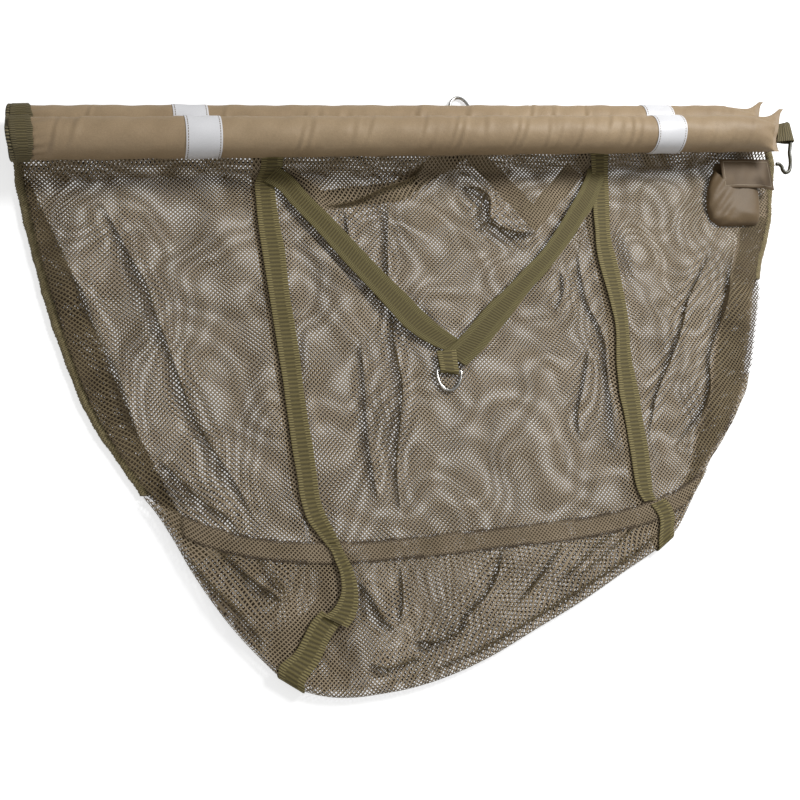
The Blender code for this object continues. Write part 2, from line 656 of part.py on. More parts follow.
def rear_arm(name, start_x):
    """One arm of the rear handle, flat on the floor, with its slack folded forward."""
    side = 1 if start_x < REAR_APEX_X else -1
    half = WEB_WIDTH / 2
    end_x = REAR_APEX_X - side * CLEAR / 2
    points = [
        Vector((start_x, REAR_ARM_TOP_Y)),
        Vector((start_x + (end_x - start_x) * REAR_FOLD_SHARE, REAR_FOLD_Y)),
        Vector((end_x, REAR_APEX_Y)),
    ]
    first = (points[1] - points[0]).normalized()
    second = (points[2] - points[1]).normalized()
    middle = (first + second).normalized()
    fold_side = Vector((-middle.y, middle.x)) * (half / middle.dot(first))
    first_rise = half / abs(first.x)
    second_rise = half / abs(second.x)
    edges = [
        (points[0] - Vector((0, first_rise)), points[0] + Vector((0, first_rise))),
        (points[1] - fold_side * side, points[1] + fold_side * side),
        (points[2] - Vector((0, second_rise)), points[2] + Vector((0, second_rise))),
    ]
    z = WEB_THICK / 2
    ribbon(name, [((*a, z), (*b, z), (0, 0, 1)) for a, b in edges], WEB_THICK, WEBBING)
    return points[2].y + second_rise


def rear_ring_tab(top_y):
    """Webbing folded round the rear ring's straight side, lying in front of the arms' ends."""
    start = top_y + CLEAR - REAR_RING_Y
    flat = WEB_THICK / 2 - REAR_RING_Z
    path = [(start, flat), (-LOOP_BAR_RADIUS, flat)]
    for k in range(9):
        turn = math.radians(250) + math.radians(220) * k / 8
        path.append((LOOP_BAR_RADIUS * math.cos(turn), LOOP_BAR_RADIUS * math.sin(turn)))
    path.append((-LOOP_BAR_RADIUS - 0.0010, LOOP_BAR_RADIUS * 0.45))

    def place(s, t, offset):
        if offset is None:
            return (0, s, t)
        return (REAR_APEX_X + offset, REAR_RING_Y + s, REAR_RING_Z + t)

    pivot = (REAR_APEX_X, REAR_RING_Y, REAR_RING_Z)
    ribbon("rear_ring_tab", path_sections(path, place, TAB_WIDTH / 2), WEB_THICK, WEBBING, pivot)


LOOP_SEAM_X = BAR_RIGHT + CLEAR
LOOP_X = HALF_LENGTH - LOOP_RADIUS - WEB_THICK / 2
HOOK_X = LOOP_X + LOOP_RADIUS - WEB_THICK / 2 - HOOK_WIRE - CLEAR


def end_loop():
    """Webbing loop sewn to the flat end of the front sleeve."""
    path = [(LOOP_SEAM_X - LOOP_X, (WEB_THICK + CLEAR) / 2), (-LOOP_RADIUS * 1.5, LOOP_RADIUS * 0.85)]
    for k in range(9):
        turn = math.radians(100) - math.radians(200) * k / 8
        path.append((LOOP_RADIUS * math.cos(turn), LOOP_RADIUS * math.sin(turn)))
    path += [(s, -t) for s, t in reversed(path[:2])]

    def place(s, t, offset):
        if offset is None:
            return (s, 0, t)
        return (LOOP_X + s, FRONT_BAR_Y + offset, FRONT_BAR_Z + t)

    sections = path_sections(path, place, WEB_WIDTH / 2)
    lean = Vector((END_SLANT * WEB_WIDTH / 2, 0, 0))
    for k in (0, -1):
        near, far, normal = sections[k]
        sections[k] = (Vector(near) - lean, Vector(far) + lean, normal)
    ribbon("right_end_loop", sections, WEB_THICK, WEBBING)


def end_hook():
    """Bent wire hook whose straight shank lies in the end loop."""
    points = [(HOOK_X + x, FRONT_BAR_Y + y, FRONT_BAR_Z + z) for x, y, z in HOOK_ROUTE]
    wire("end_hook", points, HOOK_WIRE, 8, COATED, False, (HOOK_X, FRONT_BAR_Y, FRONT_BAR_Z))


def on_pouch(x, y, z):
    """Turn a point from the pouch's own level to its tipped place."""
    out, up = y - POUCH_FOOT_Y, z - POUCH_Z
    y = POUCH_FOOT_Y + out * math.cos(POUCH_TILT) - up * math.sin(POUCH_TILT)
    return (x, y, POUCH_Z + out * math.sin(POUCH_TILT) + up * math.cos(POUCH_TILT))


def pouch_box(name, low, high):
    bm = bmesh.new()
    corners = [bm.verts.new(on_pouch(x, y, z)) for z in (low[2], high[2]) for x, y in (
        (low[0], low[1]), (high[0], low[1]), (high[0], high[1]), (low[0], high[1]))]
    bridge(bm, corners[:4], corners[4:])
    bm.faces.new(corners[:4])
    bm.faces.new(corners[4:])
    return finish(name, bm, NYLON, rounded=False)


def cut(target, name, low, high):
    cutter = pouch_box(name, low, high)
    cutter.hide_render = True
    cutter.display_type = "WIRE"
    modifier = target.modifiers.new(name, "BOOLEAN")
    modifier.operation = "DIFFERENCE"
    modifier.solver = "EXACT"
    modifier.object = cutter


def pouch():
    """Sewn pouch with a mouth in its upper face, and a flap hinged at its top edge."""
    right_x = POUCH_LEFT_X + POUCH_WIDTH
    top_y = POUCH_FOOT_Y + POUCH_LENGTH
    top_z = POUCH_Z + POUCH_THICK
    body = pouch_box("pouch_body", (POUCH_LEFT_X, POUCH_FOOT_Y, POUCH_Z), (right_x, top_y, top_z))
    inside_low = (POUCH_LEFT_X + POUCH_WALL, POUCH_FOOT_Y + POUCH_WALL, POUCH_Z + POUCH_WALL)
    cut(body, "pouch_cavity", inside_low, (right_x - POUCH_WALL, top_y - POUCH_WALL, top_z - POUCH_WALL))
    mouth_low = (POUCH_LEFT_X + 3 * POUCH_WALL, top_y - 2 * POUCH_WALL - MOUTH_LENGTH, POUCH_Z + 2 * POUCH_WALL)
    cut(body, "pouch_mouth", mouth_low, (right_x - 3 * POUCH_WALL, top_y - 2 * POUCH_WALL, top_z + POUCH_WALL))
    flap_z = top_z + CLEAR + FLAP_THICK / 2
    normal = (0, -math.sin(POUCH_TILT), math.cos(POUCH_TILT))
    sections = [(on_pouch(FLAP_LEFT_X, y, flap_z), on_pouch(FLAP_LEFT_X + FLAP_WIDTH, y, flap_z), normal)
                for y in (top_y, top_y - FLAP_LENGTH)]
    ribbon("pouch_flap", sections, FLAP_THICK, NYLON, on_pouch(FLAP_LEFT_X + FLAP_WIDTH / 2, top_y, flap_z))


def bars():
    for place, y, z, reach in (("rear", 0.0, REAR_BAR_Z, REAR_BAND_REACH),
                               ("front", FRONT_BAR_Y, FRONT_BAR_Z, FRONT_BAND_REACH)):
        foam_core(f"{place}_foam_core", y, z)
        sleeve(f"{place}_sleeve", y, z)
        band(f"{place}_band_left", BAND_MIDDLE_X - reach, y, z)
        band(f"{place}_band_right", BAND_MIDDLE_X + reach, y, z)
    wrap("left_wrap_rear", 0.0, REAR_BAR_Z, math.pi - STACK_ANGLE)
    wrap("left_wrap_front", FRONT_BAR_Y, FRONT_BAR_Z, -STACK_ANGLE)
    end_gather()


def straps():
    for side, route, seam_x, foot_x, crease, turn_x in (
            ("left", LEFT_STRAP, LEFT_STRAP_SEAM_X, LEFT_STRAP_SEAM_X, LEFT_CREASE, LEFT_TURN_X),
            ("right", RIGHT_STRAP, RIGHT_STRAP_SEAM_X, RIGHT_FOOT_X, RIGHT_CREASE, RIGHT_TURN_X)):
        strap_front_run(f"{side}_strap_front", route, seam_x)
        strap_foot_run(f"{side}_strap_foot", route, seam_x, foot_x, crease, turn_x)


def handles():
    handle_arm("front_handle_left", LEFT_ARM_TOP_X, [])
    handle_arm("front_handle_right", RIGHT_ARM_TOP_X, [RIGHT_ARM_BEND])
    front_ring_tab()
    d_ring("front_d_ring", APEX_X, FRONT_RING_Y, FRONT_RING_Z, -1)
    beside_strap = WEB_WIDTH / 2 + 3 * CLEAR
    left_x = back_run_x(LEFT_STRAP, LEFT_TURN_X, REAR_ARM_TOP_Y + WEB_WIDTH) + beside_strap
    right_x = back_run_x(RIGHT_STRAP, RIGHT_TURN_X, REAR_ARM_TOP_Y - WEB_WIDTH) - beside_strap
    tops = [rear_arm("rear_handle_left", left_x), rear_arm("rear_handle_right", right_x)]
    rear_ring_tab(max(tops))
    d_ring("rear_d_ring", REAR_APEX_X, REAR_RING_Y, REAR_RING_Z, 1)


bars()
bag_nets()
foot_net()
seam_tape()
side_binding("left_side_binding", LEFT_SIDE, -1)
side_binding("right_side_binding", RIGHT_SIDE, 1)
straps()
handles()
end_loop()
end_hook()
pouch()
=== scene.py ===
import math

import bpy
import numpy as np
from mathutils import Matrix, Vector


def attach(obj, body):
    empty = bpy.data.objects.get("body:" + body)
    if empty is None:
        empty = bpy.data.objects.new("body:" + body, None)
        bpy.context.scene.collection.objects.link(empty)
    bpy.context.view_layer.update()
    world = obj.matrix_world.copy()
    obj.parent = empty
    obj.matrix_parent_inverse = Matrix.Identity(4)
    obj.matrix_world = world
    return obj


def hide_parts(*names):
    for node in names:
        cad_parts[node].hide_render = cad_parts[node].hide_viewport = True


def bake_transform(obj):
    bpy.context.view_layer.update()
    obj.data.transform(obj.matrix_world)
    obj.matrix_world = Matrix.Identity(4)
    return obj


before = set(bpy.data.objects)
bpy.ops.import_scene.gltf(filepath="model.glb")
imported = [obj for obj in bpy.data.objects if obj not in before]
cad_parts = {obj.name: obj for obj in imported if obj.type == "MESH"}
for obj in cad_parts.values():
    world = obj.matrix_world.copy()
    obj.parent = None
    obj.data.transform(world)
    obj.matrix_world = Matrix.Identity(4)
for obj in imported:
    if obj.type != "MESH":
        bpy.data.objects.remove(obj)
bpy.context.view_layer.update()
bpy.ops.object.select_all(action="DESELECT")


# Floor, lamps and camera. The sling lies on a white paper sweep under one large lamp above
# and behind its right end, so its folds throw short soft shadows towards the near left.
# Paper: matt, with a little light of its own for the camera, so it reads white round the net.
PAPER_GLOW, SKY_GLOW = 0.60, 0.27
# Each lamp's place, size and power
LAMPS = {"key_lamp": ((1.5, 0.9, 1.7), 0.7, 46.0), "fill_lamp": ((-1.4, -1.6, 1.6), 1.6, 8.0)}
# The camera's own axes and its place, fitted to the photograph
CAMERA_RIGHT, CAMERA_UP = (0.9594, -0.1424, 0.2442), (0.0715, 0.9581, 0.2777)
CAMERA_BACK, CAMERA_PLACE = (-0.2734, -0.2489, 0.9291), (-0.4923, -0.4063, 1.368)


def linear(code):
    """An sRGB hex colour as Blender's linear colour."""
    parts = [int(code[i:i + 2], 16) / 255 for i in (1, 3, 5)]
    return tuple(p / 12.92 if p <= 0.04045 else ((p + 0.055) / 1.055) ** 2.4 for p in parts) + (1.0,)


def add_node(tree, kind, settings, inputs):
    """A node of that kind with its settings; an input is a number, a colour or another's output."""
    made = tree.nodes.new("ShaderNode" + kind)
    for name, value in settings.items():
        setattr(made, name, value)
    for key, value in inputs.items():
        if isinstance(value, bpy.types.NodeSocket):
            tree.links.new(value, made.inputs[key])
        else:
            made.inputs[key].default_value = value
    return made


def new_finish(name, inputs):
    """An empty material, its node tree and its surface shader with plain inputs."""
    made = bpy.data.materials.new(name)
    made.use_nodes = True
    made.node_tree.nodes.clear()
    shader = add_node(made.node_tree, "BsdfPrincipled", {}, inputs)
    add_node(made.node_tree, "OutputMaterial", {}, {"Surface": shader.outputs[0]})
    return made, made.node_tree, shader


bpy.ops.mesh.primitive_plane_add(size=9, location=(0, 0, 0))
floor = bpy.context.object
floor.name = "paper_floor"
paper, tree, shader = new_finish("white_paper_matt", {
    "Base Color": linear("#dedede"), "Roughness": 0.9, "Emission Color": linear("#ffffff")})
ray = add_node(tree, "LightPath", {}, {})
glow = add_node(tree, "Math", {"operation": "MULTIPLY"}, {0: ray.outputs["Is Camera Ray"], 1: PAPER_GLOW})
tree.links.new(glow.outputs[0], shader.inputs["Emission Strength"])
floor.data.materials.append(paper)

sky = bpy.data.worlds.new("studio_white")
sky.use_nodes = True
sky.node_tree.nodes.clear()
ray = add_node(sky.node_tree, "LightPath", {}, {})
seen = add_node(sky.node_tree, "Math", {"operation": "MAXIMUM"},
                {0: ray.outputs["Is Camera Ray"], 1: SKY_GLOW})
glow = add_node(sky.node_tree, "Background", {}, {"Color": (1, 1, 1, 1), "Strength": seen.outputs[0]})
add_node(sky.node_tree, "OutputWorld", {}, {"Surface": glow.outputs[0]})
bpy.context.scene.world = sky

for name, (place, size, power) in LAMPS.items():
    bpy.ops.object.light_add(type="AREA", location=place)
    lamp = bpy.context.object
    lamp.name = name
    lamp.data.size = size
    lamp.data.energy = power
    lamp.rotation_euler = Vector(place).to_track_quat("Z", "Y").to_euler()

bpy.ops.object.camera_add()
camera = bpy.context.object
camera.name = "photo_camera"
camera.data.lens = 50
camera.data.sensor_width = 36
camera.matrix_world = Matrix([*zip(CAMERA_RIGHT, CAMERA_UP, CAMERA_BACK, CAMERA_PLACE), (0, 0, 0, 1)])
bpy.context.scene.camera = camera
bpy.context.scene.view_settings.view_transform = "Standard"


# Foam cores. Closed-cell foam rods, 50 mm thick, slid into the sleeves before their ends are
# sewn shut, so none of the foam shows. They keep their CAD shape and get a foam finish.
foam, tree, shader = new_finish("closed_cell_foam", {"Roughness": 0.95})
place = add_node(tree, "TexCoord", {}, {}).outputs["Object"]
# Cells about 1 mm across, in two greys
cells = add_node(tree, "TexVoronoi", {}, {"Vector": place, "Scale": 900.0})
tone = add_node(tree, "ValToRGB", {}, {"Fac": cells.outputs["Distance"]})
tone.color_ramp.elements[0].color = linear("#3d3d3b")
tone.color_ramp.elements[1].color = linear("#5a5a57")
tree.links.new(tone.outputs[0], shader.inputs["Base Color"])
for name in ("rear_foam_core", "front_foam_core"):
    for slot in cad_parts[name].material_slots:
        slot.material = foam


# Float bar sleeves. Tan coated nylon sewn into tubes over the foam, closed flat at the right
# end with a seam across that draws the cloth into two ears. The cloth is a little too long for
# the foam, so it lies in slanting creases, and it is gathered where it enters the left cuff.
SLEEVE_LEFT, SLEEVE_RIGHT = -0.5560, 0.5360
BAR_RADIUS = 0.0265
# Y and z of each bar's middle
BARS = {"rear": (0.3507, 0.0283), "front": (0.3119, 0.0671)}
# Over this length the sleeve closes flat, slims on its rear side and stands out in its ears
TAPER = 0.060
FLAT_HALF = 0.0014
SLIM = {"rear": 0.0240, "front": 0.0080}
UPPER_EAR, LOWER_EAR = {"rear": 0.0372, "front": 0.0410}, 0.0300
# The cloth is gathered from here to the left end
GATHER_FROM, GATHER_LONG = -0.505, 0.028
CREASE_SEED = {"rear": 9, "front": 5}
CREASES = {
    "front": [-0.5090, -0.4880, -0.1984, -0.1865, -0.1289, -0.1099, -0.0339, -0.0171, 0.0099, 0.0213,
              0.0560, 0.1025, 0.1113, 0.1500, 0.1680, 0.1983, 0.2166, 0.2382, 0.2599, 0.2786, 0.2911,
              0.3871, 0.4115, 0.4445, 0.4700],
    "rear": [-0.4700, -0.2950, -0.1870, -0.1660, -0.1440, -0.1230, -0.0300, 0.0450, 0.0950, 0.1420,
             0.1760, 0.2300, 0.2660, 0.3900, 0.4300, 0.4520, 0.4680],
}


def sleeve_points(bar, x, turn, lift):
    """Points of a sleeve's cloth at x, turned from the +Y side over the top, and lifted off it."""
    middle_y, middle_z = BARS[bar]
    chance = np.random.RandomState(CREASE_SEED[bar])
    share = np.clip((x - (SLEEVE_RIGHT - TAPER)) / (TAPER - 0.008), 0, 1)
    slim = SLIM[bar] * share * (1 - share) * np.clip(np.cos(turn), 0, 1)
    flare = np.where(np.cos(turn) > 0, (UPPER_EAR[bar] - BAR_RADIUS) * share ** 7,
                     (LOWER_EAR - BAR_RADIUS) * share ** 2)
    half_y = BAR_RADIUS - slim + flare
    half_z = FLAT_HALF + (BAR_RADIUS - FLAT_HALF) * np.sqrt(np.clip(1 - share ** 2.2, 0, 1))
    crease = np.zeros_like(x)
    for start in CREASES[bar]:
        wide, deep = chance.uniform(0.0028, 0.0052), chance.uniform(0.0005, 0.0011)
        slant, reach = chance.uniform(0.006, 0.0105), chance.uniform(0.7, 1.5)
        centre = chance.uniform(1.3, 2.6)
        away = (x - start + slant * (turn - 2.4)) / wide
        fade = np.exp(-((turn - centre) / reach) ** 2)
        calm = 0.45 if start > 0.33 else 1.0
        crease += calm * deep * fade * (np.exp(-(away - 1.1) ** 2) - 0.9 * np.exp(-(away + 0.5) ** 2))
    slack = 0.0004 * np.sin(x * 71 + 2 * np.sin(turn * 2)) + 0.0003 * np.sin(x * 163 + turn * 3)
    pucker = share ** 3 * 0.0022 * np.sin(turn * 9 + 1.0) * np.sin(turn) ** 2
    cuffed = np.clip((GATHER_FROM - x) / GATHER_LONG, 0, 1)
    gather = cuffed * 0.0011 * np.sin(turn * 13 + x * 90) - 0.0012 * cuffed
    off = (crease + slack) * (1 - cuffed) * (1 - share) + pucker + gather + lift
    out_y = (half_y + off) * np.cos(turn)
    out_z = (half_z + off * np.clip(half_z / 0.012, 0.25, 1)) * np.sin(turn)
    ear = share ** 6 * 0.007 * np.abs(np.cos(turn)) ** 6
    fold = share ** 2 * (1 - share) * 0.034 * np.exp(-((turn - 0.95) / 0.28) ** 2)
    out_z = out_z - fold * np.sin(turn)
    droop = share ** 2 * (0.0015 * np.sin(3.1 * np.cos(turn)))
    along = x + 0.35 * share * np.cos(turn) * half_y + ear
    return np.stack([along, middle_y + out_y, middle_z + out_z + droop], -1)


def tube_mesh(name, rings, closed_ends, uv):
    """A mesh through rings of points, each closed on itself, with its own UV map in metres."""
    count, around = rings.shape[0], rings.shape[1]
    grid = np.arange(count * around).reshape(count, around)
    a, b = grid[:-1], grid[1:]
    faces = np.stack([a, np.roll(a, -1, 1), np.roll(b, -1, 1), b], -1).reshape(-1, 4).tolist()
    if closed_ends:
        faces += [grid[0][::-1].tolist(), grid[-1].tolist()]
    mesh = bpy.data.meshes.new(name)
    mesh.from_pydata(rings.reshape(-1, 3).tolist(), [], faces)
    layer = mesh.uv_layers.new(name="cloth")
    index = np.zeros(len(mesh.loops), np.int32)
    mesh.loops.foreach_get("vertex_index", index)
    layer.data.foreach_set("uv", uv.reshape(-1, 2)[index].astype(np.float32).ravel())
    made = bpy.data.objects.new(name, mesh)
    bpy.context.scene.collection.objects.link(made)
    bpy.ops.object.select_all(action="DESELECT")
    bpy.context.view_layer.objects.active = made
    made.select_set(True)
    bpy.ops.object.mode_set(mode="EDIT")
    bpy.ops.mesh.select_all(action="SELECT")
    bpy.ops.mesh.normals_make_consistent(inside=False)
    bpy.ops.object.mode_set(mode="OBJECT")
    bpy.ops.object.shade_smooth_by_angle(angle=math.radians(50))
    made.select_set(False)
    return made


# Coated nylon: smooth, softly shining cloth, a little uneven in tone, with painted shade darkening it
# towards the right end
nylon, tree, shader = new_finish("coated_nylon_tan", {
    "Roughness": 0.55, "Specular IOR Level": 0.35, "Sheen Weight": 0.25, "Sheen Roughness": 0.35,
    "Sheen Tint": linear("#d9c8a8")})
place = add_node(tree, "TexCoord", {}, {}).outputs["Object"]
cloud = add_node(tree, "TexNoise", {}, {"Vector": place, "Scale": 9.0, "Detail": 4.0})
tone = add_node(tree, "ValToRGB", {}, {"Fac": cloud.outputs[0]})
tone.color_ramp.elements[0].position, tone.color_ramp.elements[0].color = 0.3, linear("#a48d6f")
tone.color_ramp.elements[1].position, tone.color_ramp.elements[1].color = 0.7, linear("#af9879")
# The weave's 0.4 mm threads are drawn as 1.5 mm flecks, which is as fine as the render shows
weave = add_node(tree, "TexNoise", {}, {"Vector": place, "Scale": 650.0, "Detail": 3.0, "Roughness": 0.7})
shade = add_node(tree, "MapRange", {}, {"Value": weave.outputs[0], "From Min": 0.3, "From Max": 0.7,
                                        "To Min": 0.90, "To Max": 1.09})
along = add_node(tree, "SeparateXYZ", {}, {0: place})
# Painted shade: the colour is darkened towards the bars' right ends, by up to 16 percent
right_end_shade = add_node(tree, "MapRange", {}, {"Value": along.outputs[0], "From Min": 0.28, "From Max": 0.52,
                                         "To Min": 1.0, "To Max": 0.84})
shade = add_node(tree, "Math", {"operation": "MULTIPLY"}, {0: shade.outputs[0], 1: right_end_shade.outputs[0]})
flecked = add_node(tree, "HueSaturation", {}, {"Value": shade.outputs[0], "Color": tone.outputs[0]})
crumple = add_node(tree, "TexNoise", {},
                   {"Vector": place, "Scale": 55.0, "Detail": 3.0, "Roughness": 0.6})
fine = add_node(tree, "Bump", {}, {"Strength": 0.25, "Distance": 0.0002, "Height": weave.outputs[0]})
soft = add_node(tree, "Bump", {}, {"Strength": 0.45, "Distance": 0.0018, "Height": crumple.outputs[0],
                                   "Normal": fine.outputs[0]})
tree.links.new(flecked.outputs[0], shader.inputs["Base Color"])
tree.links.new(soft.outputs[0], shader.inputs["Normal"])

for bar in BARS:
    x = np.concatenate([np.linspace(SLEEVE_LEFT, SLEEVE_RIGHT - TAPER, 420),
                        np.linspace(SLEEVE_RIGHT - TAPER + 0.0015, SLEEVE_RIGHT, 46)])
    turn = np.linspace(0, 2 * math.pi, 72, endpoint=False)
    xs, turns = np.meshgrid(x, turn, indexing="ij")
    sleeve = tube_mesh(f"{bar}_bar_sleeve", sleeve_points(bar, xs, turns, 0.0), True,
                       np.stack([xs, turns * BAR_RADIUS], -1))
    sleeve.data.materials.append(nylon)
    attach(sleeve, f"{bar}_side")
    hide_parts(f"{bar}_sleeve")


# Reflective bands. Silver-white reflective tape 46 mm wide, wrapped once round each bar and
# sewn down 3 mm inside both edges with brown thread. Glass beads in its face make it pale and
# evenly bright, a little darker where it curves away.
BAND_CENTRE = 0.0118
BAND_REACH = {"rear": 0.343, "front": 0.333}
# Half of its section, from the middle out: how far across, and how high off the sleeve
BAND_HALF = [(0, 0.0009), (0.01, 0.0009), (0.019, 0.0009), (0.0215, 0.0009), (0.023, 0.0007),
             (0.023, 0.0004), (0.0229, 0.0002)]
reflective, tree, shader = new_finish("glass_bead_reflective_tape", {"Roughness": 0.38})
uv = add_node(tree, "UVMap", {"uv_map": "cloth"}, {}).outputs[0]
parts = add_node(tree, "SeparateXYZ", {}, {0: uv})
inset = add_node(tree, "Math", {"operation": "ABSOLUTE"}, {0: parts.outputs[0]})
near = add_node(tree, "Math", {"operation": "COMPARE"}, {0: inset.outputs[0], 1: 0.0203, 2: 0.00055})
# Stitches 2.6 mm long with 0.9 mm between them
dash = add_node(tree, "Math", {"operation": "PINGPONG"}, {0: parts.outputs[1], 1: 0.00175})
dash = add_node(tree, "Math", {"operation": "GREATER_THAN"}, {0: dash.outputs[0], 1: 0.00045})
thread = add_node(tree, "Math", {"operation": "MULTIPLY"}, {0: near.outputs[0], 1: dash.outputs[0]})
place = add_node(tree, "TexCoord", {}, {}).outputs["Object"]
grain = add_node(tree, "TexNoise", {}, {"Vector": place, "Scale": 900.0, "Detail": 2.0})
tone = add_node(tree, "ValToRGB", {}, {"Fac": grain.outputs[0]})
tone.color_ramp.elements[0].color = linear("#e4e4e7")
tone.color_ramp.elements[1].color = linear("#f6f6f8")
face = add_node(tree, "Mix", {"data_type": "RGBA"},
                {0: thread.outputs[0], 6: tone.outputs[0], 7: linear("#8d7f6f")})
tree.links.new(face.outputs[2], shader.inputs["Base Color"])
dent = add_node(tree, "Bump", {"invert": True},
                {"Strength": 0.7, "Distance": 0.0004, "Height": near.outputs[0]})
tree.links.new(dent.outputs[0], shader.inputs["Normal"])

across, lift = np.array([(-wide, high) for wide, high in BAND_HALF[:0:-1]] + BAND_HALF).T
for bar, reach in BAND_REACH.items():
    for side, middle in (("left", BAND_CENTRE - reach), ("right", BAND_CENTRE + reach)):
        turn = np.linspace(0, 2 * math.pi, 96, endpoint=False)
        xs, turns = np.meshgrid(middle + across, turn, indexing="ij")
        lean = 0.0012 * np.sin(turns + 0.6)
        band = tube_mesh(f"{bar}_band_{side}_tape",
                         sleeve_points(bar, xs + lean, turns, lift[:, None]), False,
                         np.stack([xs - middle, turns * BAR_RADIUS], -1))
        band.data.materials.append(reflective)
        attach(band, f"{bar}_side")
        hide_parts(f"{bar}_band_{side}")


# Net bag: front panel, rear panel and folded foot, in soft knotless net with diamond meshes.
# The twine is olive-brown, and its 3.3 mm meshes are drawn 4.1 mm so they show. Layers lie on
# each other, so their meshes beat into pale and dark patches, and slack gathers in folds.
MESH_PITCH = 0.0041
FRONT_TWINE, REAR_TWINE = 0.00135, 0.00190
FRONT_NET_Z, REAR_NET_Z = 0.0148, 0.0024
# The front net rises to the bar from here, and lies lower along its side edges
RISE_FROM, RISE_LONG, RISE_HIGH = 0.2827, 0.0257, 0.0258
SIDE_NET_Z = 0.0108
# The line that the front net turns about, at the middle of the seam
HINGE_Y = -0.2263
# The bag's outline: its side edges from the bars down, and its foot from left to right
LEFT_SIDE = [(-0.5573, 0.2867), (-0.5305, 0.1217), (-0.4863, -0.0373), (-0.4346, -0.1363)]
RIGHT_SIDE = [(0.5500, 0.2620), (0.5470, 0.2380), (0.541, 0.2157), (0.4968, 0.1182), (0.466, 0.0245),
              (0.425, -0.0649), (0.3947, -0.1075), (0.338, -0.1693)]
FOOT_SIDE = [
    (-0.4346, -0.1363), (-0.4209, -0.1561), (-0.4005, -0.1951), (-0.3837, -0.2334), (-0.3636, -0.2718),
    (-0.3401, -0.3105), (-0.3107, -0.3498), (-0.2754, -0.3870), (-0.2452, -0.4015), (-0.2091, -0.4090),
    (-0.1718, -0.4100), (-0.1334, -0.4085), (-0.0747, -0.3990), (-0.0314, -0.3870), (0.0417, -0.3590),
    (0.1177, -0.3290), (0.1852, -0.2981), (0.2214, -0.2820), (0.2537, -0.2651), (0.2702, -0.2510),
    (0.2899, -0.2274), (0.3053, -0.2079), (0.3225, -0.1883), (0.338, -0.1693),
]
# The side edges on past the seam, down the foot
LOW_LEFT, LOW_RIGHT = LEFT_SIDE + FOOT_SIDE[1:6], RIGHT_SIDE + FOOT_SIDE[-2:-6:-1]
# The gussets' inner edges, from the bars down
LEFT_GUSSET = [(-0.5377, 0.2835), (-0.5223, 0.2343), (-0.5047, 0.1855), (-0.4838, 0.117),
               (-0.4671, 0.0629), (-0.4556, 0.0228), (-0.4462, -0.0103), (-0.4318, -0.0562),
               (-0.4171, -0.0954), (-0.3977, -0.1472), (-0.3560, -0.2263)]
RIGHT_GUSSET = [(0.4850, 0.2400), (0.4746, 0.188), (0.4525, 0.1336), (0.4205, 0.0716), (0.3873, -0.0037),
                (0.3618, -0.0622), (0.3324, -0.1187), (0.3050, -0.1734), (0.2660, -0.2263)]
# Middles of the straps and of the handle's arms, which press the net flat
LEFT_STRAP = [(-0.2268, 0.2827), (-0.2391, 0.2457), (-0.2341, 0.1037), (-0.2369, -0.0283),
              (-0.2307, -0.1003), (-0.2297, -0.1646), (-0.2237, -0.1981), (-0.2098, -0.2273),
              (-0.1973, -0.2931)]
RIGHT_STRAP = [(0.2539, 0.2827), (0.2429, 0.1747), (0.2497, 0.0827), (0.2398, -0.0053), (0.2366, -0.0983),
               (0.2320, -0.1973), (0.2400, -0.2260), (0.2515, -0.2503)]
LEFT_ARM = [(-0.2243, 0.2827), (-0.0220, 0.0017)]
RIGHT_ARM = [(0.2402, 0.2827), (0.1660, 0.1717), (-0.0220, 0.0017)]
# What the pouch presses flat: its middle and half size, across and up
POUCH_ACROSS, POUCH_UP = (0.4675, 0.042), (0.238, 0.052)
